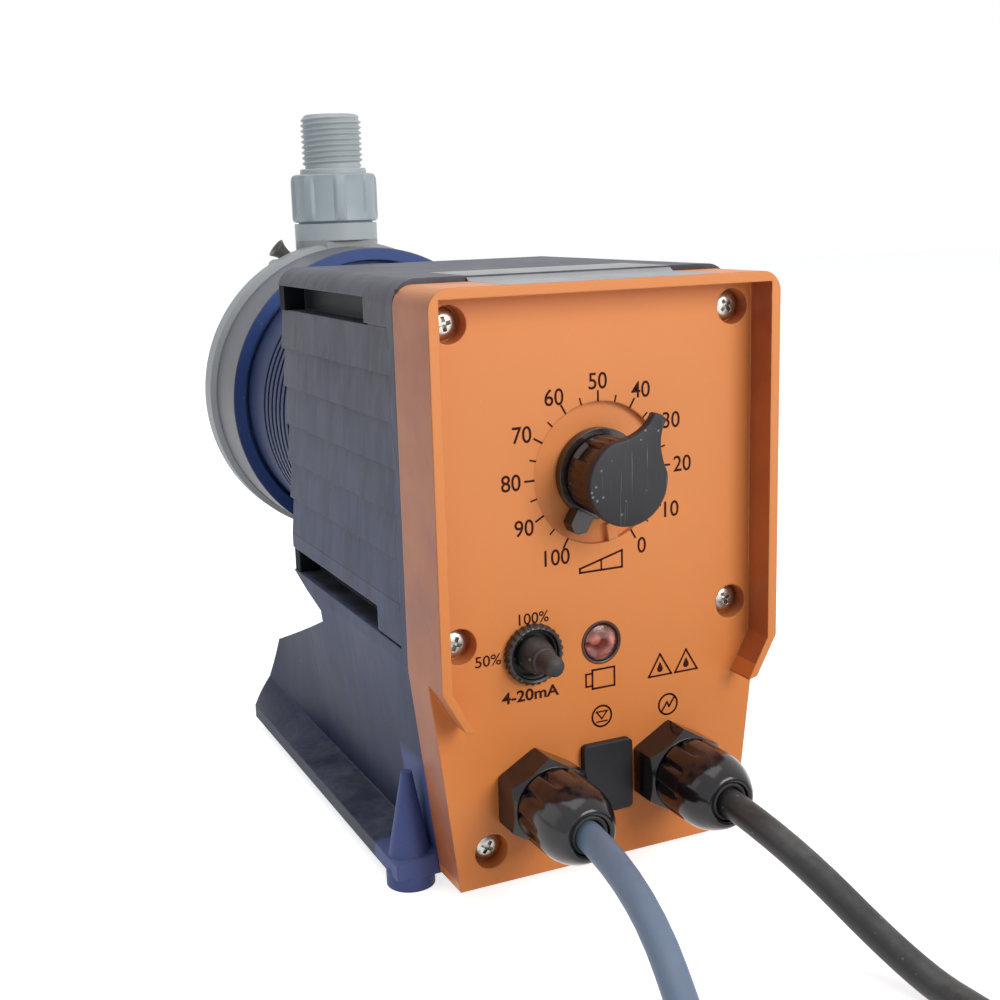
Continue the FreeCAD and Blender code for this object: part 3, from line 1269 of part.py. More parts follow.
def make_valve(name, base, turn, flow_outwards):
    """One valve; its own Z points away from the head. The ball always drops to the lower side."""
    def seat(thing, z="0"):
        return place(thing, "0", "valve_y", "%s %s (%s)" % (base, "+" if turn is None else "-", z), turn)

    travel = "(ball_radius + ball_lift + 0.2)"
    if flow_outwards:
        seat_face = "(%s + seat_height)" % PLUG_END
        web_inner = "(%s + %s + %s)" % (seat_face, SEAT_RISE, travel)
        inside = [
            ("valve_bore_radius", PLUG_END),
            ("valve_bore_radius", seat_face),
            ("ball_radius + 0.9", seat_face),
            ("ball_radius + 0.9", web_inner),
            ("valve_channel_radius", web_inner),
            ("valve_channel_radius", web_inner + " + " + WEB),
            ("nipple_bore_radius", web_inner + " + " + WEB),
            ("nipple_bore_radius", BODY_TOP),
        ]
        ball_at = "%s + %s" % (seat_face, SEAT_RISE)
        seat_from = PLUG_END
        web_top = web_inner + " + " + WEB
    else:
        web_outer = "(%s + %s)" % (PLUG_END, WEB)
        seat_face = "(%s + %s + %s)" % (web_outer, travel, SEAT_RISE)
        inside = [
            ("valve_channel_radius", PLUG_END),
            ("valve_channel_radius", web_outer),
            ("ball_radius + 0.9", web_outer),
            ("ball_radius + 0.9", seat_face),
            ("valve_bore_radius", seat_face),
            ("valve_bore_radius", BODY_TOP),
        ]
        ball_at = "%s - %s" % (seat_face, SEAT_RISE)
        seat_from = seat_face
        web_top = web_outer
    outside = [
        ("oring_radius - 1", BODY_TOP),
        ("oring_radius - 1", BODY_TOP + " - 1.3"),
        ("oring_radius + 1", BODY_TOP + " - 1.3"),
        ("oring_radius + 1", BODY_TOP),
        ("valve_thread_radius - 0.6", BODY_TOP),
        ("valve_thread_radius", BODY_TOP + " - 0.6"),
        ("valve_thread_radius", "valve_collar_height"),
        ("valve_collar_radius", "valve_collar_height"),
        ("valve_collar_radius", "0"),
        ("port_radius - 0.1", "0"),
        ("port_radius - 0.1", PLUG_END),
    ]
    body = turned(name + "_valve_body", inside + outside)
    slots = new_sketch(body, "XY_Plane", name + "_cage_outline", web_top)
    for x, y in (("4.2", "0"), ("-4.2", "0"), ("0", "4.2"), ("0", "-4.2")):
        ring(slots, "1.1", x, y)
    extrude(body, "Pocket", slots, name + "_cage", WEB)
    seat(body)

    disc = turned(name + "_valve_seat", [
        ("seat_bore_radius", "0"),
        ("valve_bore_radius - 0.1", "0"),
        ("valve_bore_radius - 0.1", "seat_height"),
        ("seat_bore_radius", "seat_height"),
    ])
    seat(disc, seat_from)

    ball = doc.addObject("Part::Sphere", name + "_ball")
    ball.Label = name + "_ball"
    bind(ball, Radius="ball_radius")
    seat(ball, ball_at)

    seal = doc.addObject("Part::Torus", name + "_oring")
    seal.Label = name + "_oring"
    bind(seal, Radius1="oring_radius", Radius2="oring_thickness")
    seat(seal, BODY_TOP + " - 1.3 + oring_thickness")

    nipple = turned(name + "_nipple", [
        ("nipple_bore_radius", FLANGE_TOP + " - nipple_flange_height"),
        ("nipple_flange_radius", FLANGE_TOP + " - nipple_flange_height"),
        ("nipple_flange_radius", FLANGE_TOP),
        ("nipple_collar_radius", FLANGE_TOP),
        ("nipple_collar_radius", NUT_END + " + nipple_collar_height"),
        ("nipple_thread_radius", NUT_END + " + nipple_collar_height"),
        ("nipple_thread_radius", NUT_END + " + nipple_collar_height + nipple_thread_height - nipple_lead_in"),
        ("nipple_thread_radius - nipple_lead_in * 0.7",
         NUT_END + " + nipple_collar_height + nipple_thread_height"),
        ("nipple_bore_radius", NUT_END + " + nipple_collar_height + nipple_thread_height"),
    ])
    seat(nipple)

    nut = turned(name + "_union_nut", [
        ("valve_thread_radius + 0.1", NUT_START),
        ("nut_radius - nut_lobe_depth - 0.8", NUT_START),
        ("nut_radius - nut_lobe_depth", NUT_START + " + 0.8"),
        ("nut_radius - nut_lobe_depth", NUT_END + " - 1.2"),
        ("nut_radius - nut_lobe_depth - 1.2", NUT_END),
        ("nipple_collar_radius + 0.15", NUT_END),
        ("nipple_collar_radius + 0.15", NUT_END + " - nut_top_wall"),
        ("valve_thread_radius + 0.1", NUT_END + " - nut_top_wall"),
    ])
    rib = new_sketch(nut, "XY_Plane", name + "_nut_rib_outline", NUT_START + " + 0.6")
    loop(rib, [
        ("nut_radius - nut_lobe_depth - 0.5", "-1.7"),
        ("nut_radius - 0.4", "-1.1"),
        ("nut_radius", "-0.4"),
        ("nut_radius", "0.4"),
        ("nut_radius - 0.4", "1.1"),
        ("nut_radius - nut_lobe_depth - 0.5", "1.7"),
    ])
    pad = extrude(nut, "Pad", rib, name + "_nut_rib", "nut_height - 1.4")
    doc.recompute()
    ribs = nut.newObject("PartDesign::PolarPattern", name + "_nut_ribs")
    ribs.Originals = [pad]
    ribs.Axis = (rib, ["N_Axis"])
    ribs.Angle = 360
    bind(ribs, Occurrences="nut_lobes")
    nut.Tip = ribs
    seat(nut)


def make_bleed_valve():
    back = "(%s + head_disc_thickness + head_block_depth)" % HEAD_Y
    knob = turned("bleed_knob", [
        ("0", "-10"),
        ("bleed_stem_radius - 1", "-10"),
        ("bleed_stem_radius", "-8.5"),
        ("bleed_stem_radius", "fit"),
        ("bleed_knob_radius - 0.6", "fit"),
        ("bleed_knob_radius", "fit + 0.6"),
        ("bleed_knob_radius", "bleed_knob_height - 0.6"),
        ("bleed_knob_radius - 0.6", "bleed_knob_height"),
        ("0", "bleed_knob_height"),
    ])
    flute = new_sketch(knob, "XY_Plane", "bleed_flute_outline", "fit - 0.1")
    ring(flute, "1.4", "bleed_knob_radius + 0.5", "0")
    cut = extrude(knob, "Pocket", flute, "bleed_flute", "bleed_knob_height", reverse=True)
    doc.recompute()
    flutes = knob.newObject("PartDesign::PolarPattern", "bleed_flutes")
    flutes.Originals = [cut]
    flutes.Axis = (flute, ["N_Axis"])
    flutes.Angle = 360
    flutes.Occurrences = 8
    knob.Tip = flutes
    place(knob, "0", back, "bleed_z", TO_REAR)

    nozzle = turned("bleed_nozzle", [
        ("nozzle_bore_radius", "0"),
        ("nozzle_radius", "0"),
        ("nozzle_radius", "nozzle_length - 5"),
        ("nozzle_flare_radius", "nozzle_length"),
        ("nozzle_flare_radius - 0.8", "nozzle_length"),
        ("nozzle_bore_radius", "nozzle_length - 4"),
    ])
    place(nozzle, "bleed_x", "nozzle_y", "nozzle_z", nozzle_turn())


# Cords: the points of each route, in millimetres, from inside the gland to the coil's near tail.
MAINS_ROUTE = [
    (19.0, -107.5, 26.7),
    (19.0, -134.5, 26.7),
    (30.6, -166.7, 3.6),
    (34.5, -187.7, 3.6),
]
CONTROL_ROUTE = [
    (-19.0, -107.5, 26.7),
    (-19.0, -138.0, 26.7),
    (-27.4, -178.6, 3.6),
    (-33.1, -199.4, 3.6),
]
# How far round the coil, past its whole turns, each lead leaves it again.
MAINS_FAR_TURN = 180.0
CONTROL_FAR_TURN = 205.0


def cord_path(name, points):
    """Straight runs joined by tangent arcs, each as large as its two runs allow."""
    points = [Vector(*p) for p in points]
    edges, at, radii = [], points[0], []
    for k in range(1, len(points) - 1):
        back, ahead = points[k - 1] - points[k], points[k + 1] - points[k]
        turn = math.pi - back.getAngle(ahead)
        reach = 0.45 * min(back.Length, ahead.Length)
        radii.append(reach / math.tan(turn / 2))
        start = points[k] + back.normalize() * reach
        end = points[k] + ahead.normalize() * reach
        inward = (back + ahead).normalize()
        middle = points[k] + inward * (radii[-1] / math.cos(turn / 2) - radii[-1])
        edges.append(Part.LineSegment(at, start).toShape())
        edges.append(Part.Arc(start, middle, end).toShape())
        at = end
    edges.append(Part.LineSegment(at, points[-1]).toShape())
    print(name, "radii", ", ".join("%.1f" % r for r in radii), "length %.1f" % sum(e.Length for e in edges))
    return Part.Wire(edges)


def make_cord(name, points):
    """The stretch of a cord that isn't coiled, as one round tube along its path."""
    path = cord_path(name, points)
    start = Vector(*points[0])
    way = Vector(*points[1]) - start
    section = Part.Wire([Part.makeCircle(size("cord_radius"), start, way)])
    shape = path.makePipeShell([section], True, False)
    expected = math.pi * size("cord_radius") ** 2 * path.Length
    print(name, "volume %.0f of %.0f" % (abs(shape.Volume), expected))
    if abs(abs(shape.Volume) / expected - 1) > 0.01:
        raise RuntimeError(name + " doesn't follow its path")
    tube = doc.addObject("Part::Feature", name)
    tube.Shape = shape
    tube.Label = name
    return tube


def coil_frame(points):
    """Where a coil lies: its centre, the way the cord arrives, and the side it arrives on."""
    heading = Vector(points[-1][0] - points[-2][0], points[-1][1] - points[-2][1], 0).normalize()
    side = Vector(heading.y, -heading.x, 0)
    end = Vector(points[-1][0], points[-1][1], 0)
    centre = end + heading * size("coil_tail") - side * size("coil_mean_radius")
    return centre, heading, side


def at_point(thing, point, height, turn=None):
    return place(thing, "%.6f" % point.x, "%.6f" % point.y, height, turn)


def far_end(points, far_turn):
    """Where a coil's outer end leaves it, and the way it goes."""
    centre, heading, side = coil_frame(points)
    swing = Rotation(Vector(0, 0, 1), far_turn)
    return centre + swing.multVec(side) * size("coil_mean_radius"), swing.multVec(heading)


def make_coil(name, points, far_turn):
    """The outer shape of the coiled stretch: a flat ring with the cord's two ends as tails."""
    mean, half = "coil_mean_radius", "coil_half_width"
    coil = turned(name + "_ring", [
        (mean + " - " + half, "3 - coil_height / 2"),
        (mean + " - " + half + " + 3", "-coil_height / 2"),
        (mean + " + " + half + " - 3", "-coil_height / 2"),
        (mean + " + " + half, "3 - coil_height / 2"),
        (mean + " + " + half, "coil_height / 2 - 3"),
        (mean + " + " + half + " - 3", "coil_height / 2"),
        (mean + " - " + half + " + 3", "coil_height / 2"),
        (mean + " - " + half, "coil_height / 2 - 3"),
    ])
    centre, heading, side = coil_frame(points)
    at_point(coil, centre, "coil_height / 2")
    near = cylinder(name + "_near_tail", "cord_radius", "coil_tail")
    at_point(near, centre + side * size("coil_mean_radius"), "coil_tail_z", Rotation(Vector(0, 0, 1), -heading))
    foot, onward = far_end(points, far_turn)
    far = cylinder(name + "_far_tail", "cord_radius", "coil_far_tail")
    at_point(far, foot, "coil_tail_z", Rotation(Vector(0, 0, 1), onward))
    return joined(name, [coil, near, far])


def make_core_ends(name, points, count, far_turn):
    """Stripped cores at a cord's open end."""
    foot, onward = far_end(points, far_turn)
    foot = foot + onward * size("coil_far_tail")
    across = Vector(onward.y, -onward.x, 0)
    apart = size("core_radius") * 1.05 / math.sin(math.pi / count)
    cores = []
    for k in range(count):
        angle = 2 * math.pi * k / count + math.pi / 4
        core = cylinder("%s_%d" % (name, k), "core_radius", "core_length")
        height = "coil_tail_z + %.6f" % (apart * math.sin(angle))
        at_point(core, foot + across * apart * math.cos(angle), height, Rotation(Vector(0, 0, 1), onward))
        cores.append(core)
    return group(name, cores)


def make_all():
    make_housing()
    make_front_cover()
    make_gasket()
    make_cover_screws()
    make_stroke_knob()
    make_pointer_ring()
    make_spindle()
    make_spindle_bush()
    make_switch()
    make_lamp()
    make_blanking_cap()
    make_option_socket()
    make_gland("control", "-gland_x")
    make_gland("mains", "gland_x")
    make_circuit_board()
    make_drive()
    make_adapter()
    make_adapter_screws()
    make_head_plate()
    make_diaphragm()
    bored_for_nozzle(make_dosing_head())
    make_head_screws()
    make_valve("discharge", "valve_base_z", None, True)
    make_valve("suction", "(2 * axis_z - valve_base_z)", UPSIDE_DOWN, False)
    make_bleed_valve()
    make_cord("mains_cable", MAINS_ROUTE)
    make_cord("control_cable", CONTROL_ROUTE)
    make_coil("mains_cable_coil", MAINS_ROUTE, MAINS_FAR_TURN)
    make_coil("control_cable_coil", CONTROL_ROUTE, CONTROL_FAR_TURN)
    make_core_ends("mains_core_ends", MAINS_ROUTE, 3, MAINS_FAR_TURN)
    make_core_ends("control_core_ends", CONTROL_ROUTE, 4, CONTROL_FAR_TURN)


NODES = """
housing front_cover cover_gasket cover_screws stroke_knob knob_pointer_ring stroke_spindle spindle_bush
toggle_switch_body toggle_ring_nut toggle_lever toggle_boot led_lens blanking_cap option_socket
control_gland_body control_gland_nut control_gland_locknut mains_gland_body mains_gland_nut
mains_gland_locknut circuit_board magnet_yoke yoke_plate solenoid_coil armature push_rod rod_bush
return_spring drive_adapter adapter_screws head_plate diaphragm diaphragm_core dosing_head head_screws
discharge_valve_body discharge_valve_seat discharge_ball discharge_oring discharge_nipple
discharge_union_nut suction_valve_body suction_valve_seat suction_ball suction_oring suction_nipple
suction_union_nut bleed_knob bleed_nozzle mains_cable mains_cable_coil mains_core_ends control_cable
control_cable_coil control_core_ends
""".split()


def check_and_write():
    """Every object must be sound before any file is written."""
    doc.recompute()
    for thing in doc.Objects:
        if "Invalid" in thing.State or "Error" in thing.State:
            raise RuntimeError("%s failed: %s" % (thing.Name, thing.getStatusString()))
    found = {}
    for node in NODES:
        thing = doc.getObjectsByLabel(node)[0]
        shape = thing.Shape
        if shape.isNull() or not shape.isValid() or not shape.Solids:
            raise RuntimeError("%s has no sound solid" % node)
        found[node] = shape
    os.makedirs("parts", exist_ok=True)
    for node, shape in found.items():
        shape.exportStep("parts/%s.step" % node)
        box = shape.BoundBox
        print("%-24s %2d solid %9.0f mm3  x %.1f %.1f  y %.1f %.1f  z %.1f %.1f" % (
            node, len(shape.Solids), shape.Volume, box.XMin, box.XMax, box.YMin, box.YMax, box.ZMin, box.ZMax))


make_all()
check_and_write()
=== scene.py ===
"""A diaphragm metering pump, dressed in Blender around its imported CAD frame."""
import math

import bmesh
import bpy
from mathutils import Matrix, Vector


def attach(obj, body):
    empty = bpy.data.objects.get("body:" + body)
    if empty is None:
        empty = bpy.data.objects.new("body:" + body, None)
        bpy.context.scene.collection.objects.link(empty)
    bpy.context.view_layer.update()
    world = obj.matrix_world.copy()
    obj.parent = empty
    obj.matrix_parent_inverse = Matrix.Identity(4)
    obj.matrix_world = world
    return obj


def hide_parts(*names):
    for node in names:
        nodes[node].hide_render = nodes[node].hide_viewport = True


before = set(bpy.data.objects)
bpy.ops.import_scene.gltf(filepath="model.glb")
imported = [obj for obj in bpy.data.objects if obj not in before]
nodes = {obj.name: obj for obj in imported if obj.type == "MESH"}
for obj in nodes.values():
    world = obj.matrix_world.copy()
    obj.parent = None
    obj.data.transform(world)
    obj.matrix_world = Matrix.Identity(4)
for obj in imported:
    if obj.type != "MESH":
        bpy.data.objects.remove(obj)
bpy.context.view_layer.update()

# Camera
# A phone held a little above the pump, in front and to its left, tilted by a degree or two.
# Shapes below are drawn in millimetres and brought to metres when they become pieces.
MM = 0.001


def add_object(name, data):
    """A new object, linked to the scene."""
    made = bpy.data.objects.new(name, data)
    bpy.context.scene.collection.objects.link(made)
    return made


azimuth = math.radians(24.82)
down = math.radians(11.98)
roll = math.radians(-1.646)
camera_place = (-0.158, -0.3738, 0.1672)
forward = Vector((math.sin(azimuth) * math.cos(down), math.cos(azimuth) * math.cos(down), -math.sin(down)))
level = Vector((math.cos(azimuth), -math.sin(azimuth), 0.0))
upright = level.cross(forward)
camera_right = math.cos(roll) * level + math.sin(roll) * upright
camera_up = math.cos(roll) * upright - math.sin(roll) * level
lens = bpy.data.cameras.new("photo_camera")
lens.lens = 49.75
lens.sensor_width = 36.0
lens.clip_start = 0.01
camera = add_object("photo_camera", lens)
camera_turn = Matrix((camera_right, camera_up, -forward)).transposed().to_4x4()
camera.matrix_world = Matrix.Translation(camera_place) @ camera_turn
bpy.context.scene.camera = camera
bpy.context.scene.view_settings.view_transform = "Standard"

# Floor, sky and lamps
# A plain white sweep. The floor and the sky look white to the camera, in gloss and through glass.
# The lamps are one large window-like panel in front on the right, one above and a weak one behind, left.


def node_in(tree, kind, links=(), **settings):
    """A new node, with its settings and its unlinked values set, and its linked inputs joined."""
    node = tree.nodes.new(kind)
    for name, value in settings.items():
        setattr(node, name, value)
    for socket, value in dict(links).items():
        if isinstance(value, bpy.types.NodeSocket):
            tree.links.new(value, node.inputs[socket])
        else:
            node.inputs[socket].default_value = value
    return node


def math_in(tree, operation, *values, clamp=False):
    """The result of a sum on one, two or three values."""
    return node_in(tree, "ShaderNodeMath", enumerate(values), operation=operation, use_clamp=clamp).outputs[0]


def fresh_tree(owner):
    """The emptied node tree of a world or a material."""
    owner.use_nodes = True
    owner.node_tree.nodes.clear()
    return owner.node_tree


def seen_directly(tree):
    """One where a ray comes from the camera, a gloss or a clear piece."""
    path = node_in(tree, "ShaderNodeLightPath").outputs
    direct = math_in(tree, "MAXIMUM", path["Is Camera Ray"], path["Is Glossy Ray"])
    return math_in(tree, "MAXIMUM", direct, path["Is Transmission Ray"])


def add_mesh(name, shape, material):
    """A new object from a shape, which is used up, with its finish."""
    mesh = bpy.data.meshes.new(name)
    shape.to_mesh(mesh)
    shape.free()
    mesh.materials.append(material)
    return add_object(name, mesh)


sky = bpy.data.worlds.new("studio_sky")
sky_tree = fresh_tree(sky)
sky_light = node_in(sky_tree, "ShaderNodeBackground", {"Color": (0.93, 0.97, 1.0, 1.0), "Strength": 0.27})
sky_white = node_in(sky_tree, "ShaderNodeBackground", {"Color": (1.0, 1.0, 1.0, 1.0), "Strength": 1.0})
sky_mix = node_in(sky_tree, "ShaderNodeMixShader", {
    0: seen_directly(sky_tree), 1: sky_light.outputs[0], 2: sky_white.outputs[0]})
node_in(sky_tree, "ShaderNodeOutputWorld", {"Surface": sky_mix.outputs[0]})
bpy.context.scene.world = sky

floor_finish = bpy.data.materials.new("studio_floor")
floor_tree = fresh_tree(floor_finish)
floor_lit = node_in(floor_tree, "ShaderNodeBsdfDiffuse", {"Color": (0.86, 0.86, 0.86, 1.0)})
floor_lift = node_in(floor_tree, "ShaderNodeEmission", {"Color": (1.0, 1.0, 1.0, 1.0), "Strength": 0.76})
floor_bright = node_in(floor_tree, "ShaderNodeAddShader", {0: floor_lit.outputs[0], 1: floor_lift.outputs[0]})
floor_mix = node_in(floor_tree, "ShaderNodeMixShader", {
    0: seen_directly(floor_tree), 1: floor_lit.outputs[0], 2: floor_bright.outputs[0]})
node_in(floor_tree, "ShaderNodeOutputMaterial", {"Surface": floor_mix.outputs[0]})
floor_shape = bmesh.new()
bmesh.ops.create_grid(floor_shape, x_segments=1, y_segments=1, size=3.0)
floor = add_mesh("studio_floor", floor_shape, floor_finish)

for lamp_name, place, aim, size, power, tint in (
    ("window_lamp", (0.50, -1.30, 0.70), (0.0, -0.05, 0.08), 0.80, 14.5, (1.0, 0.98, 0.95)),
    ("ceiling_lamp", (-0.10, 0.25, 1.35), (0.0, 0.0, 0.05), 1.10, 7.0, (0.96, 0.98, 1.0)),
    ("side_lamp", (-1.10, 0.35, 0.60), (0.0, 0.0, 0.08), 0.90, 1.5, (0.95, 0.98, 1.0)),
):
    lamp = bpy.data.lights.new(lamp_name, "AREA")
    lamp.shape = "SQUARE"
    lamp.size = size
    lamp.energy = power
    lamp.color = tint
    turn = (Vector(aim) - Vector(place)).to_track_quat("-Z", "Y").to_matrix().to_4x4()
    add_object(lamp_name, lamp).matrix_world = Matrix.Translation(place) @ turn

# Mains lead and control lead
# Round PVC leads of 7 mm from the two glands: a black one with three cores for the mains, a grey one
# with four cores for the control signal. Both drop to the floor and are wound up just out of view.
# What isn't seen is a neat coil of three layers, tied once, with its stripped end laid out beside it.


def object_spot(tree):
    """The place of a point on its piece."""
    return node_in(tree, "ShaderNodeTexCoord").outputs["Object"]


def axes_of(tree, vector):
    """The X, Y and Z of a vector."""
    return node_in(tree, "ShaderNodeSeparateXYZ", {0: vector}).outputs


def noise_in(tree, where, scale, detail, **more):
    """A field of soft noise about one half."""
    texture = {"Vector": where, "Scale": scale, "Detail": detail, **more}
    return node_in(tree, "ShaderNodeTexNoise", texture).outputs["Fac"]


def ranged(tree, value, low, high, new_low=0.0, new_high=1.0):
    """A value brought from one range to another, and held inside it."""
    limits = {"Value": value, "From Min": low, "From Max": high, "To Min": new_low, "To Max": new_high}
    return node_in(tree, "ShaderNodeMapRange", limits).outputs[0]


def mix_in(tree, share, first, second):
    """The first colour where the share is nought, the second where it is one."""
    return node_in(tree, "ShaderNodeMix", {0: share, 6: first, 7: second}, data_type="RGBA").outputs[2]


def shared_group(name, inputs, outputs):
    """A shader node group with named inputs (name: default) and outputs (name: socket type)."""
    group = bpy.data.node_groups.new(name, "ShaderNodeTree")
    for key, default in inputs.items():
        kind = "NodeSocketColor" if isinstance(default, tuple) else "NodeSocketFloat"
        group.interface.new_socket(key, in_out="INPUT", socket_type=kind).default_value = default
    for key, kind in outputs.items():
        group.interface.new_socket(key, in_out="OUTPUT", socket_type=kind)
    return group, node_in(group, "NodeGroupInput").outputs


grain, given = shared_group("moulded_grain", {"Scale": 1200.0, "Depth": 0.5}, {"Height": "NodeSocketFloat"})
where = object_spot(grain)
fine = noise_in(grain, where, given["Scale"], 3.0)
coarse = noise_in(grain, where, math_in(grain, "MULTIPLY", given["Scale"], 0.12), 2.0)
blended = math_in(grain, "MULTIPLY_ADD", coarse, 0.6, fine)
node_in(grain, "NodeGroupOutput", {"Height": math_in(grain, "MULTIPLY", blended, given["Depth"])})

patches, given = shared_group(
    "uneven_colour", {"Colour": (0.5, 0.5, 0.5, 1.0), "Amount": 0.1, "Scale": 40.0},
    {"Colour": "NodeSocketColor", "Field": "NodeSocketFloat"})
cloud = noise_in(patches, object_spot(patches), given["Scale"], 4.0, Roughness=0.6)
swing = math_in(patches, "SUBTRACT", cloud, 0.5)
factor = math_in(patches, "MULTIPLY_ADD", swing, given["Amount"], 1.0)
tinted = node_in(patches, "ShaderNodeVectorMath", {0: given["Colour"], "Scale": factor}, operation="SCALE")
node_in(patches, "NodeGroupOutput", {"Colour": tinted.outputs[0], "Field": cloud})

wear, given = shared_group(
    "edge_wear", {"Radius": 0.0004, "Amount": 0.5},
    {"Mask": "NodeSocketFloat", "Normal": "NodeSocketVector"})
soft_edge = node_in(wear, "ShaderNodeBevel", {"Radius": given["Radius"]}, samples=6).outputs[0]
true_normal = node_in(wear, "ShaderNodeNewGeometry").outputs["Normal"]
along = node_in(wear, "ShaderNodeVectorMath", {0: soft_edge, 1: true_normal}, operation="DOT_PRODUCT")
turned_away = ranged(wear, along.outputs["Value"], 0.995, 0.80)
broken = ranged(wear, noise_in(wear, object_spot(wear), 350.0, 4.0), 0.38, 0.62)
patchy = math_in(wear, "MULTIPLY", turned_away, broken)
worn_mask = math_in(wear, "MULTIPLY", patchy, given["Amount"])
node_in(wear, "NodeGroupOutput", {"Mask": worn_mask, "Normal": soft_edge})

dust, given = shared_group("settled_dust", {"Amount": 0.3, "Specks": 0.2}, {"Mask": "NodeSocketFloat"})
facing = axes_of(dust, node_in(dust, "ShaderNodeNewGeometry").outputs["Normal"])
upwards = ranged(dust, facing["Z"], 0.25, 1.0)
where = object_spot(dust)
drifted = ranged(dust, noise_in(dust, where, 90.0, 6.0, Roughness=0.7), 0.35, 0.75)
lying = math_in(dust, "MULTIPLY", math_in(dust, "MULTIPLY", upwards, drifted), given["Amount"])
dots = node_in(dust, "ShaderNodeTexVoronoi", {"Vector": where, "Scale": 420.0}).outputs["Distance"]
few = ranged(dust, noise_in(dust, where, 120.0, 1.0), 0.54, 0.62)
speck = math_in(dust, "MULTIPLY", ranged(dust, dots, 0.16, 0.10), few)
specks = math_in(dust, "MULTIPLY_ADD", speck, given["Specks"], lying, clamp=True)
node_in(dust, "NodeGroupOutput", {"Mask": specks})


def group_in(tree, group, **values):
    """The outputs of a shared group, placed with its own values."""
    return node_in(tree, "ShaderNodeGroup", values, node_tree=group).outputs


def make_finish(name, colour, roughness, metallic=0.0, uneven=0.12, uneven_scale=40.0, grain_scale=1200.0,
                grain_depth=0.5, edge=0.4, wear_amount=0.3, worn=None, dusty=0.2, specks=0.2,
                dust_colour=(0.42, 0.42, 0.40), coat=0.0, shine=0.5, painted=None):
    """A moulded, painted or machined finish: uneven colour, worn edges, dust, grain and gloss."""
    material = bpy.data.materials.new(name)
    tree = fresh_tree(material)
    full = colour + (1.0,)
    start = painted(tree, full) if painted else full
    base = group_in(tree, patches, Colour=start, Amount=uneven, Scale=uneven_scale)
    edges = group_in(tree, wear, Radius=edge * MM, Amount=wear_amount)
    lighter = worn or tuple(min(1.0, part * 1.6 + 0.05) for part in colour)
    rubbed = mix_in(tree, edges["Mask"], base["Colour"], lighter + (1.0,))
    dirt = group_in(tree, dust, Amount=dusty, Specks=specks)["Mask"]
    soiled = mix_in(tree, dirt, rubbed, dust_colour + (1.0,))
    sheen = ranged(tree, base["Field"], 0.25, 0.75, roughness - 0.06, roughness + 0.07)
    dull = math_in(tree, "MULTIPLY_ADD", dirt, 0.5, sheen, clamp=True)
    bumps = group_in(tree, grain, Scale=grain_scale, Depth=grain_depth)
    relief = node_in(tree, "ShaderNodeBump", {
        "Strength": 0.35, "Distance": 0.0001, "Height": bumps["Height"], "Normal": edges["Normal"]})
    shader = node_in(tree, "ShaderNodeBsdfPrincipled", {
        "Base Color": soiled, "Roughness": dull, "Metallic": metallic, "Coat Weight": coat,
        "Coat Roughness": 0.12, "Specular IOR Level": shine, "Normal": relief.outputs[0]})
    node_in(tree, "ShaderNodeOutputMaterial", {"Surface": shader.outputs[0]})
    return material


def held(value):
    """A value kept between nought and one."""
    return min(1.0, max(0.0, value))


def eased(value):
    """A value kept between nought and one that starts and ends gently."""
    share = held(value)
    return share * share * (3.0 - 2.0 * share)


def coil_points(route, towards, far_turn):
    """Points that carry a route on into a coil, two turns wide and three high, and out to its end."""
    heading = Vector((towards[0], towards[1], 0.0)).normalized()
    side = Vector((heading.y, -heading.x, 0.0))
    centre = Vector(route[-1]) + heading * LEAD_IN - side * COIL_RADIUS
    outer, inner = COIL_RADIUS + 3.5, COIL_RADIUS - 3.5
    low, middle, high = 4.2, 11.3, 18.4
    # where a turn of the coil changes its size or its height: from, to, new radius, new height
    changes = (
        (240, 360, inner, low), (510, 600, inner, middle), (780, 870, inner, high),
        (1020, 1140, outer, high), (1290, 1380, outer, middle),
    )
    step = 20.0
    turn = 0.0
    points = []
    while turn <= 360.0 * FULL_TURNS + far_turn + 0.01:
        radius, height = outer, low
        for start, stop, new_radius, new_height in changes:
            share = eased((turn - start) / (stop - start))
            radius += (new_radius - radius) * share
            height += (new_height - height) * share
        angle = math.radians(turn)
        out = side * math.cos(angle) + heading * math.sin(angle)
        spot = centre + out * radius / math.cos(math.radians(step / 2)) ** 0.5
        points.append((spot.x, spot.y, height))
        turn += step
    swing = Matrix.Rotation(math.radians(far_turn), 3, "Z")
    away = swing @ heading
    across = swing @ side
    # the tail leaves the coil along its tangent, comes down and ends on the line of its bare cores
    for run, inwards, height in ((8.0, 0.0, 11.3), (16.0, 0.0, 10.6), (22.0, 0.2, 9.2), (29.0, 1.4, 6.6),
                                 (36.0, 2.8, 4.4), (45.0, 3.4, 3.6)):
        spot = centre + across * (outer - inwards) + away * run
        points.append((spot.x, spot.y, height))
    return points, centre, across


def make_lead(name, points, diameter, material):
    """A round lead: a smooth spline through its chosen points, with its thickness."""
    curve = bpy.data.curves.new(name, "CURVE")
    curve.dimensions = "3D"
    spline = curve.splines.new("NURBS")
    spline.points.add(len(points) - 1)
    for target, point in zip(spline.points, points):
        target.co = (point[0] * MM, point[1] * MM, point[2] * MM, 1.0)
    spline.order_u = 3
    spline.use_endpoint_u = True
    curve.bevel_depth = diameter / 2 * MM
    curve.bevel_resolution = 8
    curve.resolution_u = 8
    curve.use_fill_caps = True
    curve.materials.append(material)
    return add_object(name, curve)


def add_box(shape, size, centre):
    """A box of a size about a centre, added to a shape."""
    corners = bmesh.ops.create_cube(shape, size=1.0)["verts"]
    bmesh.ops.scale(shape, vec=size, verts=corners)
    bmesh.ops.translate(shape, vec=centre, verts=corners)
    return corners


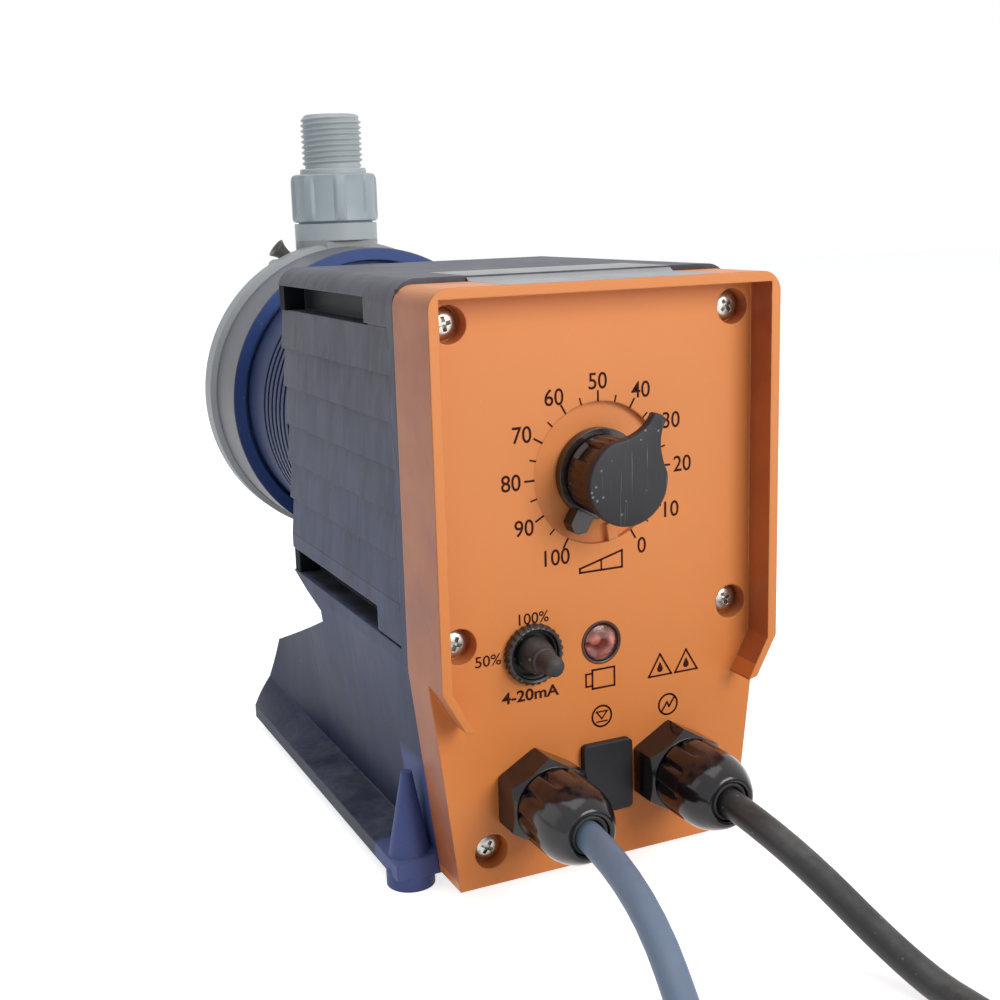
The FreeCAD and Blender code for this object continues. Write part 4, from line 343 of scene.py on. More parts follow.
COIL_RADIUS = 35.0
LEAD_IN = 31.0
FULL_TURNS = 4
MAINS_ROUTE = [(19.0, -107.5, 26.7), (19.0, -135.5, 26.7), (33.2, -166.2, 3.6), (34.5, -187.7, 3.6)]
CONTROL_ROUTE = [(-19.0, -107.5, 26.7), (-19.0, -138.0, 26.7), (-27.4, -178.6, 3.6), (-33.1, -199.4, 3.6)]
lead_black = make_finish(
    "mains_lead_pvc", (0.020, 0.019, 0.021), 0.42, uneven_scale=60.0, grain_depth=0.3, wear_amount=0.0,
    dusty=0.25, specks=0.35)
lead_grey = make_finish(
    "control_lead_pvc", (0.140, 0.200, 0.300), 0.45, uneven=0.25, uneven_scale=55.0, grain_depth=0.3,
    wear_amount=0.0, dusty=0.35, specks=0.25, dust_colour=(0.30, 0.34, 0.38))
tie_nylon = make_finish("tie_nylon", (0.030, 0.030, 0.032), 0.38, grain_depth=0.2, dusty=0.1)
for lead_name, route, towards, far_turn, material in (
    ("mains", MAINS_ROUTE, (3.9, -21.0), 180.0, lead_black),
    ("control", CONTROL_ROUTE, (-5.7, -20.8), 205.0, lead_grey),
):
    coil, centre, across = coil_points(route, towards, far_turn)
    lead = make_lead(lead_name + "_lead", route + coil, 7.0, material)
    # a band of nylon drawn tight round the coil's section
    tie = bmesh.new()
    add_box(tie, (15.4, 3.6, 22.4), (0.0, 0.0, 0.0))
    corners = [e for e in tie.edges if abs(e.verts[0].co.y - e.verts[1].co.y) > 1.0]
    bmesh.ops.bevel(tie, geom=corners, offset=3.4, affect="EDGES", segments=6, profile=0.5, material=-1)
    ends = [f for f in tie.faces if abs(f.normal.y) > 0.9]
    bmesh.ops.inset_region(tie, faces=ends, thickness=0.55)
    middles = [f for f in tie.faces if abs(f.normal.y) > 0.9 and len(f.verts) > 4]
    bmesh.ops.delete(tie, geom=middles, context="FACES")
    bmesh.ops.bridge_loops(tie, edges=[e for e in tie.edges if e.is_boundary])
    turn_to = Matrix.Rotation(math.atan2(-across.y, -across.x) + 0.9, 4, "Z")
    spoke = turn_to @ Vector((COIL_RADIUS, 0.0, 0.0))
    place_tie = Matrix.Translation((centre.x + spoke.x, centre.y + spoke.y, 11.25)) @ turn_to
    bmesh.ops.transform(tie, matrix=Matrix.Scale(MM, 4) @ place_tie, verts=tie.verts)
    bmesh.ops.recalc_face_normals(tie, faces=tie.faces)
    tie_piece = add_mesh(lead_name + "_coil_tie", tie, tie_nylon)
    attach(tie_piece, "frame")
    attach(lead, "frame")
    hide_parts(lead_name + "_cable", lead_name + "_cable_coil")

# Housing
# Blue glass-filled plastic, moulded in one piece with its louvred sides and the splayed shoe under it.
# Its top is greyed by dust, its sides are scuffed, and it is darker towards the bottom, nearly navy.
# It stands on four small feet, each with a blind screw hole. The front two run up the corners as cones.


HERE = Matrix.Identity(4)


def finish_piece(name, shape, material, body, slot, *replaced, place=HERE, crease=32.0):
    """Turn a shape in millimetres into a piece that rides on a body and may stand for CAD nodes."""
    bmesh.ops.transform(shape, matrix=place, verts=shape.verts)
    bmesh.ops.remove_doubles(shape, verts=shape.verts, dist=0.0005)
    bmesh.ops.recalc_face_normals(shape, faces=shape.faces)
    bmesh.ops.transform(shape, matrix=Matrix.Scale(MM, 4), verts=shape.verts)
    piece = add_mesh(name, shape, material)
    piece.data.polygons.foreach_set("use_smooth", [True] * len(piece.data.polygons))
    piece.data.set_sharp_from_angle(angle=math.radians(crease))
    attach(piece, body)
    if replaced:
        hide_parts(*replaced)


def dress(material, slot, *names):
    """Give CAD nodes a better finish."""
    for name in names:
        nodes[name].data.materials.clear()
        nodes[name].data.materials.append(material)


def inside(tree, *spans):
    """One where each value lies in its span of millimetres, with a narrow or a given soft edge."""
    found = 1.0
    for value, low, high, *soft in spans:
        margin = soft[0] if soft else 0.05
        above = ranged(tree, value, (low - margin) * MM, low * MM)
        below = ranged(tree, value, (high + margin) * MM, high * MM)
        found = math_in(tree, "MULTIPLY", found, math_in(tree, "MULTIPLY", above, below))
    return found


def weathered_blue_with_shade(tree, full):
    """Navy low down, greyer higher up, smeared, with painted shade under the louvres and in the slots."""
    where = object_spot(tree)
    spot = axes_of(tree, where)
    out = math_in(tree, "ABSOLUTE", spot["X"])
    shades = node_in(tree, "ShaderNodeValToRGB", {0: ranged(tree, spot["Z"], 0.0, 0.15)})
    ramp = shades.color_ramp
    for place, colour in ((0.26, (0.014, 0.021, 0.066, 1.0)), (0.38, (0.026, 0.038, 0.100, 1.0)),
                          (0.60, (0.054, 0.066, 0.120, 1.0))):
        ramp.elements.new(place).color = colour
    ramp.elements[0].color = (0.010, 0.015, 0.040, 1.0)
    ramp.elements[-1].color = full
    laid = node_in(tree, "ShaderNodeMapping", {"Vector": where, "Scale": (90.0, 150.0, 45.0)}).outputs[0]
    smear = noise_in(tree, laid, 1.0, 5.0, Roughness=0.65, Distortion=0.6)
    smeared = ranged(tree, smear, 0.36, 0.62, 0.66, 1.12)
    clouded = node_in(
        tree, "ShaderNodeVectorMath", {0: shades.outputs[0], "Scale": smeared},
        operation="SCALE").outputs[0]
    from_first = math_in(tree, "SUBTRACT", spot["Z"], (SLAT_FIRST_Z - SLAT_PITCH) * MM)
    up_slat = math_in(tree, "MODULO", from_first, SLAT_PITCH * MM)
    on_side = inside(tree, (out, 43.9, 60.0), (spot["Z"], 72.5, 141.0))
    # painted shadow: a thin near-black line under the overhang of each louvre, and a short shaded groove at
    # its front end
    shadow_line = inside(tree, (up_slat, -0.2, 0.28), (spot["Y"], -71.8, 30.0))
    groove_shade = inside(tree, (up_slat, SLAT_PITCH - 4.6, SLAT_PITCH + 0.2), (spot["Y"], -71.9, -71.25))
    lines = math_in(tree, "MULTIPLY", on_side, math_in(tree, "MAXIMUM", shadow_line, groove_shade))
    # painted shade: the inside of the slots, behind the outer face of the sides, is near black
    slot_shade = inside(tree, (out, -1.0, 43.6, 0.8), (spot["Z"], 61.0, 147.6, 0.2), (spot["Y"], -58.0, 40.0))
    boss = inside(tree, (out, 36.0, 60.0, 2.0), (spot["Y"], -90.0, -60.0, 2.0), (spot["Z"], -1.0, 31.0, 4.0))
    brighter = mix_in(tree, boss, clouded, (0.074, 0.102, 0.270, 1.0))
    return mix_in(tree, math_in(tree, "MAXIMUM", lines, slot_shade), brighter, (0.006, 0.008, 0.014, 1.0))


SLAT_PITCH = 11.06
SLAT_FIRST_Z = 62.6
SLOT_HEIGHT = 6.9
housing_blue = make_finish(
    "housing_blue", (0.096, 0.092, 0.116), 0.50, shine=0.22, uneven=0.35, uneven_scale=22.0,
    grain_depth=0.9, edge=0.7, wear_amount=0.5, worn=(0.17, 0.18, 0.23), dusty=0.42, specks=0.25,
    dust_colour=(0.26, 0.27, 0.33), painted=weathered_blue_with_shade)
dress(housing_blue, "housing_blue", "housing")
# near black, as painted shade deep in the slots
slot_painted_shade = make_finish("slot_painted_shade", (0.008, 0.009, 0.016), 0.7, shine=0.1, dusty=0.05, specks=0.1)
# the lowest and the highest slot of each side are closed at their rear ends
ribs = bmesh.new()
for sign in (-1.0, 1.0):
    for bottom in (SLAT_FIRST_Z, SLAT_FIRST_Z + 7 * SLAT_PITCH):
        add_box(ribs, (6.0, 4.6, SLOT_HEIGHT), (sign * 42.3, 14.8, bottom + SLOT_HEIGHT / 2))
finish_piece("slot_end_ribs", ribs, slot_painted_shade, "frame", "housing_blue")

# Front cover
# Orange plastic with a hood that runs round its top and sides and slants off above the glands.
# It is held by six screws in round counterbores and carries the dial, the switch, the lamp and the glands.


def browner_sides_and_low_shade(tree, full):
    """Browner and darker on the outer side faces of the hood, and painted shade low down on the face."""
    where = object_spot(tree)
    spot = axes_of(tree, where)
    # painted shade: the face is a darker, deeper orange towards its bottom
    face = mix_in(tree, ranged(tree, spot["Z"], 10.0 * MM, 110.0 * MM), (0.72, 0.222, 0.048, 1.0), full)
    out = math_in(tree, "ABSOLUTE", spot["X"])
    amount = ranged(tree, noise_in(tree, where, 55.0, 4.0), 0.3, 0.7, 0.55, 0.95)
    normal = axes_of(tree, node_in(tree, "ShaderNodeNewGeometry").outputs["Normal"])
    turned = ranged(tree, math_in(tree, "ABSOLUTE", normal["X"]), 0.55, 0.95)
    outside = math_in(tree, "MULTIPLY", inside(tree, (out, 40.0, 60.0)), turned)
    return mix_in(tree, math_in(tree, "MULTIPLY", outside, amount), face, (0.34, 0.090, 0.034, 1.0))


cover_orange = make_finish(
    "cover_orange", (0.76, 0.262, 0.075), 0.42, shine=0.4, uneven=0.10, uneven_scale=18.0, grain_depth=0.6,
    edge=0.6, wear_amount=0.35, worn=(0.80, 0.42, 0.22), dusty=0.12, specks=0.10,
    dust_colour=(0.70, 0.45, 0.30), painted=browner_sides_and_low_shade)
dress(cover_orange, "cover_orange", "front_cover")
gasket_rubber = make_finish("gasket_rubber", (0.018, 0.018, 0.020), 0.6, grain_depth=0.4, dusty=0.3)
dress(gasket_rubber, "gasket_black", "cover_gasket")

# Cover screws
# Six zinc-plated pan-head screws with a cross recess, sunk in the counterbores of the cover.
# The recesses are dark with dirt and no two of them stand at the same angle.
TO_FRONT = Matrix(((1.0, 0.0, 0.0, 0.0), (0.0, 0.0, -1.0, 0.0), (0.0, 1.0, 0.0, 0.0), (0.0, 0.0, 0.0, 1.0)))
TO_REAR = Matrix(((1.0, 0.0, 0.0, 0.0), (0.0, 0.0, 1.0, 0.0), (0.0, -1.0, 0.0, 0.0), (0.0, 0.0, 0.0, 1.0)))


def lathe(shape, outline, steps=64, closed=True):
    """Spin an outline of (radius, height) in millimetres about its own Z."""
    before = set(shape.verts)
    corners = [shape.verts.new((radius, 0.0, height)) for radius, height in outline]
    edges = [shape.edges.new(pair) for pair in zip(corners, corners[1:])]
    if closed:
        edges.append(shape.edges.new((corners[-1], corners[0])))
    bmesh.ops.spin(
        shape, geom=corners + edges, cent=(0, 0, 0), axis=(0, 0, 1), dvec=(0, 0, 0), angle=2 * math.pi,
        steps=steps, use_merge=True, use_duplicate=False)
    made = [v for v in shape.verts if v not in before]
    bmesh.ops.remove_doubles(shape, verts=made, dist=0.0005)
    return [v for v in shape.verts if v not in before]


def carve(shape, tool, operation="DIFFERENCE"):
    """Cut one closed shape with another, and return what is left."""
    objects = []
    for part in (shape, tool):
        bmesh.ops.recalc_face_normals(part, faces=part.faces)
        mesh = bpy.data.meshes.new("carving")
        part.to_mesh(mesh)
        part.free()
        objects.append(add_object("carving", mesh))
    cut = objects[0].modifiers.new("cut", "BOOLEAN")
    cut.operation = operation
    cut.solver = "EXACT"
    cut.object = objects[1]
    bpy.context.view_layer.update()
    left = bmesh.new()
    left.from_object(objects[0], bpy.context.evaluated_depsgraph_get())
    for thing in objects:
        mesh = thing.data
        bpy.data.objects.remove(thing)
        bpy.data.meshes.remove(mesh)
    return left


def copy_into(shape, pattern, places):
    """Add copies of a pattern shape at several places, and drop the pattern."""
    mesh = bpy.data.meshes.new("pattern")
    pattern.to_mesh(mesh)
    pattern.free()
    for place in places:
        before = len(shape.verts)
        shape.from_mesh(mesh)
        shape.verts.ensure_lookup_table()
        bmesh.ops.transform(shape, matrix=place, verts=shape.verts[before:])
    bpy.data.meshes.remove(mesh)


zinc = make_finish(
    "screw_zinc", (0.56, 0.54, 0.50), 0.30, metallic=1.0, uneven=0.35, uneven_scale=400.0,
    grain_scale=3000.0, grain_depth=0.4, edge=0.15, wear_amount=0.2, dusty=0.25, specks=0.5,
    dust_colour=(0.12, 0.10, 0.08))
crossed = bmesh.new()
lathe(
    crossed, [(0.0, 0.0), (3.75, 0.0), (3.8, 0.5), (3.75, 1.0), (3.45, 1.65), (2.9, 2.15), (2.0, 2.45),
    (1.0, 2.57), (0.0, 2.6)], steps=40, closed=False)
# one arm of the cross is cut after the other, each narrower at its bottom
for width, height in ((1.15, 4.3), (4.3, 1.15)):
    arm = bmesh.new()
    sides = add_box(arm, (width, height, 2.4), (0.0, 0.0, 2.3))
    bmesh.ops.scale(arm, vec=(0.55, 0.55, 1.0), verts=[v for v in sides if v.co.z < 2.3])
    crossed = carve(crossed, arm)
SCREW_SEAT_Y = -84.0
screw_places = []
for x, z, turn in ((-37.8, 141.8, 12), (37.8, 141.8, 38), (-37.8, 66.7, 70), (37.8, 66.7, 25),
                   (-31.2, 13.6, 55), (31.2, 13.6, 8)):
    own_turn = Matrix.Rotation(math.radians(turn), 4, "Z")
    screw_places.append(Matrix.Translation((x, SCREW_SEAT_Y, z)) @ TO_FRONT @ own_turn)
screws = bmesh.new()
copy_into(screws, crossed, screw_places)
finish_piece("cover_screw_heads", screws, zinc, "frame", "screw_steel", "cover_screws", crease=40.0)

# Stroke dial
# Figures and marks printed on the panel round a shallow dish, from 0 to 100 in a turn of 300 degrees,
# with the small signs and settings beside the switch and the lamp. All are one thin coat of maroon ink.
PANEL_Y = -89.0
INK_Y = PANEL_Y - 0.04
DIAL_Z = 104.2
ink = make_finish(
    "panel_ink", (0.040, 0.008, 0.006), 0.6, shine=0.1, uneven=0.2, uneven_scale=300.0, grain_depth=0.3,
    wear_amount=0.0, dusty=0.0, specks=0.0)


def ink_strip(shape, points, width, closed=False):
    """A printed line of even width through points on the panel."""
    loop = points + points[:1] if closed else points
    for (x0, z0), (x1, z1) in zip(loop, loop[1:]):
        run = math.hypot(x1 - x0, z1 - z0)
        ux, uz = (x1 - x0) / run * width / 2, (z1 - z0) / run * width / 2
        shape.faces.new([shape.verts.new((x, INK_Y, z)) for x, z in (
            (x0 - ux - uz, z0 - uz + ux), (x0 - ux + uz, z0 - uz - ux),
            (x1 + ux + uz, z1 + uz - ux), (x1 + ux - uz, z1 + uz + ux))])


def arc_points(x, z, radius, start=0.0, stop=360.0, count=24):
    """Points on an arc about a point of the panel."""
    angles = [math.radians(start + (stop - start) * k / count) for k in range(count + 1)]
    return [(x + radius * math.cos(a), z + radius * math.sin(a)) for a in angles]


def ink_words(shape, words, x, z, height, bold, squeeze):
    """Printed figures, upright and centred on a point of the panel."""
    text = bpy.data.curves.new("figures", "FONT")
    text.body = words
    text.size = height * 1.36
    text.align_x = "CENTER"
    text.align_y = "CENTER"
    text.offset = bold
    holder = add_object("figures", text)
    bpy.context.view_layer.update()
    mesh = bpy.data.meshes.new_from_object(holder.evaluated_get(bpy.context.evaluated_depsgraph_get()))
    before = len(shape.verts)
    shape.from_mesh(mesh)
    shape.verts.ensure_lookup_table()
    fresh = shape.verts[before:]
    centre_x = (min(v.co.x for v in fresh) + max(v.co.x for v in fresh)) / 2
    centre_y = (min(v.co.y for v in fresh) + max(v.co.y for v in fresh)) / 2
    for vert in fresh:
        vert.co = (x + (vert.co.x - centre_x) * squeeze, INK_Y, z + vert.co.y - centre_y)
    bpy.data.objects.remove(holder)
    bpy.data.curves.remove(text)
    bpy.data.meshes.remove(mesh)


marks = bmesh.new()
for number in range(0, 21):
    turn = math.radians(-60.0 + 15.0 * number)
    reach, wide = (19.7, 0.5) if number % 2 == 0 else (18.9, 0.42)
    cos, sin = math.cos(turn), math.sin(turn)
    ink_strip(marks, [(17.5 * cos, DIAL_Z + 17.5 * sin), (reach * cos, DIAL_Z + reach * sin)], wide)
    if number % 2 == 0:
        ink_words(marks, str(number * 5), 23.4 * cos, DIAL_Z + 22.2 * sin, 4.1, bold=0.045, squeeze=0.95)
for words, x, z, height, bold, squeeze in (("100%", -18.3, 70.9, 2.85, 0.035, 1.05),
                                           ("50%", -30.6, 62.2, 2.85, 0.035, 1.08),
                                           ("4-20mA", -19.6, 51.9, 2.95, 0.10, 1.16)):
    ink_words(marks, words, x, z, height, bold=bold, squeeze=squeeze)
# the wedge that stands for the stroke's length
ink_strip(marks, [(-5.6, 80.2), (6.1, 80.2), (6.1, 84.4), (-5.6, 81.2)], 0.52, closed=True)
ink_strip(marks, [(0.3, 80.2), (0.3, 82.7)], 0.45)
# the pump
ink_strip(marks, [(-2.6, 50.2), (3.6, 50.2), (3.6, 55.0), (-2.6, 55.0)], 0.52, closed=True)
ink_strip(marks, [(-2.6, 51.0), (-4.4, 51.0), (-4.4, 54.2), (-2.6, 54.2)], 0.5)
# the float in its ring
ink_strip(marks, arc_points(-0.1, 42.7, 2.7), 0.48)
ink_strip(marks, [(-1.6, 43.9), (1.4, 43.9), (-0.1, 42.0)], 0.42, closed=True)
ink_strip(marks, [(-1.5, 41.3), (1.3, 41.3)], 0.42)
# the mains sign
ink_strip(marks, arc_points(19.1, 42.3, 2.7), 0.48)
ink_strip(marks, [(17.2, 40.6), (18.8, 42.9), (19.4, 41.7), (21.0, 44.0)], 0.5)
# the two drops in their triangles
for x in (16.8, 24.5):
    ink_strip(marks, [(x - 3.3, 50.4), (x + 3.3, 50.4), (x, 56.0)], 0.5, closed=True)
    drop = arc_points(x, 52.1, 0.85, 150.0, 390.0, 12)
    drop.append((x, 54.0))
    marks.faces.new([marks.verts.new((px, INK_Y, pz)) for px, pz in drop])
bmesh.ops.recalc_face_normals(marks, faces=marks.faces)
bmesh.ops.reverse_faces(marks, faces=[f for f in marks.faces if f.normal.y > 0.0])
bmesh.ops.transform(marks, matrix=Matrix.Scale(MM, 4), verts=marks.verts)
panel_print = add_mesh("panel_print", marks, ink)
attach(panel_print, "frame")

# Stroke knob
# A black moulded knob, pushed on the spindle: a fluted grip, a flat cap whose edge runs out into a blunt
# nose that points at the scale, and a faceted pointer ring under it. The cap is scratched and dusty.


def scratched(tree, full):
    """A painter for hairline scratches of a lighter grey."""
    where = object_spot(tree)
    lines = 0.0
    for turn, stretch in ((35.0, 60.0), (-50.0, 45.0)):
        laid = node_in(tree, "ShaderNodeMapping", {
            "Vector": where, "Rotation": (0.0, math.radians(turn), 0.0), "Scale": (2200.0, 60.0, stretch)})
        thin = ranged(tree, noise_in(tree, laid.outputs[0], 1.0, 1.0), 0.70, 0.76)
        lines = math_in(tree, "MAXIMUM", lines, thin)
    return mix_in(tree, math_in(tree, "MULTIPLY", lines, 0.5), full, (0.22, 0.21, 0.22, 1.0))


def draw_in(verts, depth_at):
    """Draw vertices in towards their own Z by what depth_at gives for a radius, a turn and a height."""
    for vert in verts:
        radius = math.hypot(vert.co.x, vert.co.y)
        depth = depth_at(radius, math.atan2(vert.co.y, vert.co.x), vert.co.z)
        if depth > 0.0:
            vert.co.x *= (radius - depth) / radius
            vert.co.y *= (radius - depth) / radius


def grip_flutes(radius, turn, height):
    """Shallow flutes round the grip, and one wide flat."""
    if radius <= 8.8 or not -9.5 < height < -1.0:
        return 0.0
    degrees = math.degrees(turn) % 360.0
    if 118.0 < degrees < 150.0:
        return 1.25
    ridge = abs((degrees / 15.0) % 1.0 - 0.5) * 2.0
    return 0.42 if ridge > 0.62 else 0.0


knob_plastic = make_finish(
    "knob_plastic", (0.020, 0.019, 0.024), 0.46, shine=0.35, uneven=0.5, uneven_scale=120.0,
    grain_depth=0.7, edge=0.35, wear_amount=0.5, worn=(0.12, 0.11, 0.12), dusty=0.1, specks=0.8,
    dust_colour=(0.30, 0.29, 0.30), painted=scratched)
# the grip's red-brown tint, in its colour and its worn edges, is a painted reflection of the orange cover
grip_reflection_tinted = make_finish(
    "grip_reflection_tinted", (0.022, 0.012, 0.010), 0.22, shine=0.7, uneven=0.5, uneven_scale=150.0, grain_depth=0.4,
    edge=0.3, wear_amount=0.3, worn=(0.16, 0.07, 0.045), dusty=0.15, specks=0.4,
    dust_colour=(0.30, 0.20, 0.16))
NOSE_TURN = 60.0
NOSE_FOOT = 6.4
CAP_RADIUS = 10.4
KNOB_FACE_Y = -101.0
knob_place = Matrix.Translation((0.0, KNOB_FACE_Y, DIAL_Z)) @ TO_FRONT
flank = []
for step in range(0, 15):
    out = NOSE_FOOT + (16.9 - NOSE_FOOT) * step / 14
    share = (out - NOSE_FOOT) / (16.4 - NOSE_FOOT)
    flank.append((out, 1.85 + 6.35 * max(0.0, 1.0 - share) ** 2.15))
flank += [(17.15, 1.55), (17.35, 0.9), (17.4, 0.3)]
rim = [(out, -half) for out, half in flank] + [(out, half) for out, half in reversed(flank)]
start = math.degrees(math.atan2(flank[0][1], flank[0][0])) + 6.0
for step in range(0, 41):
    angle = math.radians(start + (360.0 - 2.0 * start) * step / 40)
    rim.append((CAP_RADIUS * math.cos(angle), CAP_RADIUS * math.sin(angle)))
cap = bmesh.new()
plate = cap.faces.new([cap.verts.new((x, y, 0.0)) for x, y in rim])
raised = bmesh.ops.extrude_face_region(cap, geom=[plate])
top = [v for v in raised["geom"] if isinstance(v, bmesh.types.BMVert)]
bmesh.ops.translate(cap, vec=(0.0, 0.0, 2.6), verts=top)
bmesh.ops.recalc_face_normals(cap, faces=cap.faces)
lips = [e for e in cap.edges if abs(e.verts[0].co.z - e.verts[1].co.z) < 0.01]
bmesh.ops.bevel(cap, geom=lips, offset=0.42, affect="EDGES", segments=3, profile=0.5, material=-1)
nose_turn = Matrix.Rotation(math.radians(NOSE_TURN), 4, "Z")
finish_piece(
    "stroke_knob_cap", cap, knob_plastic, "knob", "knob_black", "stroke_knob", place=knob_place @ nose_turn,
    crease=50.0)

grip = bmesh.new()
wall = lathe(
    grip, [(3.1, -10.4), (8.9, -10.4), (9.5, -10.0), (9.6, -9.2), (9.6, -1.4), (9.2, -0.4), (9.2, 0.0),
    (3.1, 0.0)], steps=144)
draw_in(wall, grip_flutes)
finish_piece("stroke_knob_grip", grip, grip_reflection_tinted, "knob", "knob_black", place=knob_place, crease=35.0)
dress(grip_reflection_tinted, "knob_black", "knob_pointer_ring")

# Mode switch
# A small toggle switch behind the panel, held by a knurled black ring nut in front of it.
# A stepped rubber boot over its lever keeps the wet out.


def lathe_piece(name, outline, place, material, body, slot, *replaced, steps=56, closed=True, crease=60.0):
    """A piece that is one outline spun about an axis."""
    shape = bmesh.new()
    lathe(shape, outline, steps, closed)
    finish_piece(name, shape, material, body, slot, *replaced, place=place, crease=crease)


boot_rubber = make_finish(
    "boot_rubber", (0.020, 0.018, 0.020), 0.55, uneven=0.4, uneven_scale=200.0, edge=0.3,
    worn=(0.09, 0.08, 0.09), dusty=0.25, specks=0.6)
nut_black = make_finish(
    "nut_black", (0.022, 0.018, 0.018), 0.28, uneven=0.4, uneven_scale=200.0, grain_depth=0.2, edge=0.25,
    wear_amount=0.45, worn=(0.20, 0.15, 0.13), dusty=0.15, specks=0.4)
switch_place = Matrix.Translation((-19.0, PANEL_Y, 62.2)) @ TO_FRONT
collar = bmesh.new()
teeth = lathe(
    collar, [(6.15, 0.0), (7.5, 0.0), (7.6, 0.25), (7.6, 1.9), (7.1, 2.45), (6.6, 2.6), (6.15, 2.3)],
    steps=168)
draw_in(teeth, lambda radius, turn, height: 0.19 + 0.19 * math.cos(turn * 28.0) if radius > 7.0 else 0.0)
finish_piece(
    "switch_ring_nut", collar, nut_black, "frame", "nut_black", "toggle_ring_nut", place=switch_place,
    crease=40.0)
lathe_piece(
    "switch_boot_base", [(5.45, 0.1), (6.1, 0.1), (6.1, 1.4), (5.9, 1.65), (5.65, 1.55), (5.45, 1.2)],
    switch_place, boot_rubber, "frame", "boot_rubber", crease=45.0)
lathe_piece(
    "switch_boot", [(2.2, 0.7), (4.35, 0.7), (4.4, 1.2), (4.4, 2.3), (4.1, 2.75), (4.1, 3.9), (3.75, 4.3),
    (3.7, 5.4), (3.3, 5.8), (3.25, 7.0), (2.75, 7.4), (2.7, 8.6), (2.5, 9.0), (2.5, 11.3), (2.35, 12.3),
    (1.9, 13.0), (1.1, 13.4), (0.0, 13.45)], switch_place, boot_rubber, "toggle", "boot_rubber",
    "toggle_boot", closed=False, crease=45.0)

# Pulse lamp
# A clear, nearly flat dome in a dark red-brown bezel that is pushed into the panel.
# Behind it a bright reflector cup holds a small pink-red light diode.
bezel_plastic = make_finish(
    "bezel_plastic", (0.075, 0.022, 0.014), 0.30, uneven=0.3, uneven_scale=250.0, edge=0.2, dusty=0.1)
reflector_silver = make_finish(
    "reflector_silver", (0.62, 0.42, 0.38), 0.22, metallic=1.0, uneven=0.6, uneven_scale=700.0,
    grain_depth=0.8, edge=0.1, wear_amount=0.0, dusty=0.1)
diode_red = make_finish(
    "diode_red", (0.55, 0.16, 0.13), 0.25, uneven=0.3, uneven_scale=500.0, edge=0.1, wear_amount=0.0,
    dusty=0.05)
clear_dome = bpy.data.materials.new("clear_dome")
tree = fresh_tree(clear_dome)
smears = group_in(tree, grain, Scale=900.0, Depth=0.4)
relief = node_in(tree, "ShaderNodeBump", {"Strength": 0.15, "Distance": 0.0001, "Height": smears["Height"]})
shader = node_in(tree, "ShaderNodeBsdfPrincipled", {
    "Base Color": (0.95, 0.80, 0.76, 1.0), "Roughness": 0.05, "IOR": 1.45, "Transmission Weight": 1.0,
    "Normal": relief.outputs[0]})
node_in(tree, "ShaderNodeOutputMaterial", {"Surface": shader.outputs[0]})
lamp_place = Matrix.Translation((0.0, PANEL_Y, 61.8)) @ TO_FRONT
lathe_piece(
    "lamp_bezel", [(4.35, -0.9), (4.4, 0.0), (5.55, 0.0), (5.5, 0.15), (5.2, 0.2), (4.85, 0.1), (4.6, -0.2),
    (4.5, -0.9)], lamp_place, bezel_plastic, "frame", "lens_red", "led_lens", crease=40.0)
lathe_piece(
    "lamp_reflector", [(0.0, -5.2), (1.4, -5.1), (2.6, -4.2), (3.7, -2.6), (4.3, -0.9), (4.35, -0.9),
    (4.35, -5.6), (0.0, -5.7)], lamp_place, reflector_silver, "frame", "steel", steps=48, closed=False)
lathe_piece(
    "lamp_diode", [(0.0, -5.1), (1.6, -5.1), (1.6, -3.4), (1.4, -2.8), (1.0, -2.3), (0.4, -2.1),
    (0.0, -2.05)], lamp_place, diode_red, "frame", "lens_red", steps=32, closed=False)
lathe_piece(
    "lamp_dome", [(4.33, -0.8), (4.33, -0.45), (3.8, -0.2), (2.9, 0.0), (1.5, 0.15), (0.0, 0.19),
    (0.0, -0.1), (1.5, -0.15), (2.9, -0.35), (3.8, -0.7)], lamp_place, clear_dome, "frame", "lens_red",
    steps=48)

# Blanking cap
# A black plastic cap, speckled with dust, that is pushed into the unused option socket between the glands.
cap_plastic = make_finish(
    "cap_plastic", (0.014, 0.014, 0.017), 0.50, shine=0.3, uneven=0.4, uneven_scale=150.0, grain_depth=0.7,
    edge=0.6, wear_amount=0.35, worn=(0.10, 0.10, 0.11), dusty=0.15, specks=1.0,
    dust_colour=(0.25, 0.24, 0.24))
dress(cap_plastic, "knob_black", "blanking_cap")
dress(nut_black, "knob_black", "option_socket")

# Cable glands
# Glossy black glands: a chamfered hexagon screwed into the panel, and a domed nut with grip flutes
# round its rear half that squeezes a rubber seal on the lead. A locknut holds each from inside.


def dome_flutes(radius, turn, height):
    """Ten grooves round the rear half of the domed nut that run out towards its front."""
    if radius <= 9.0 or height >= 19.5:
        return 0.0
    return 0.95 * max(0.0, math.cos(turn * 10.0)) ** 3 * held((19.5 - height) / 3.0)


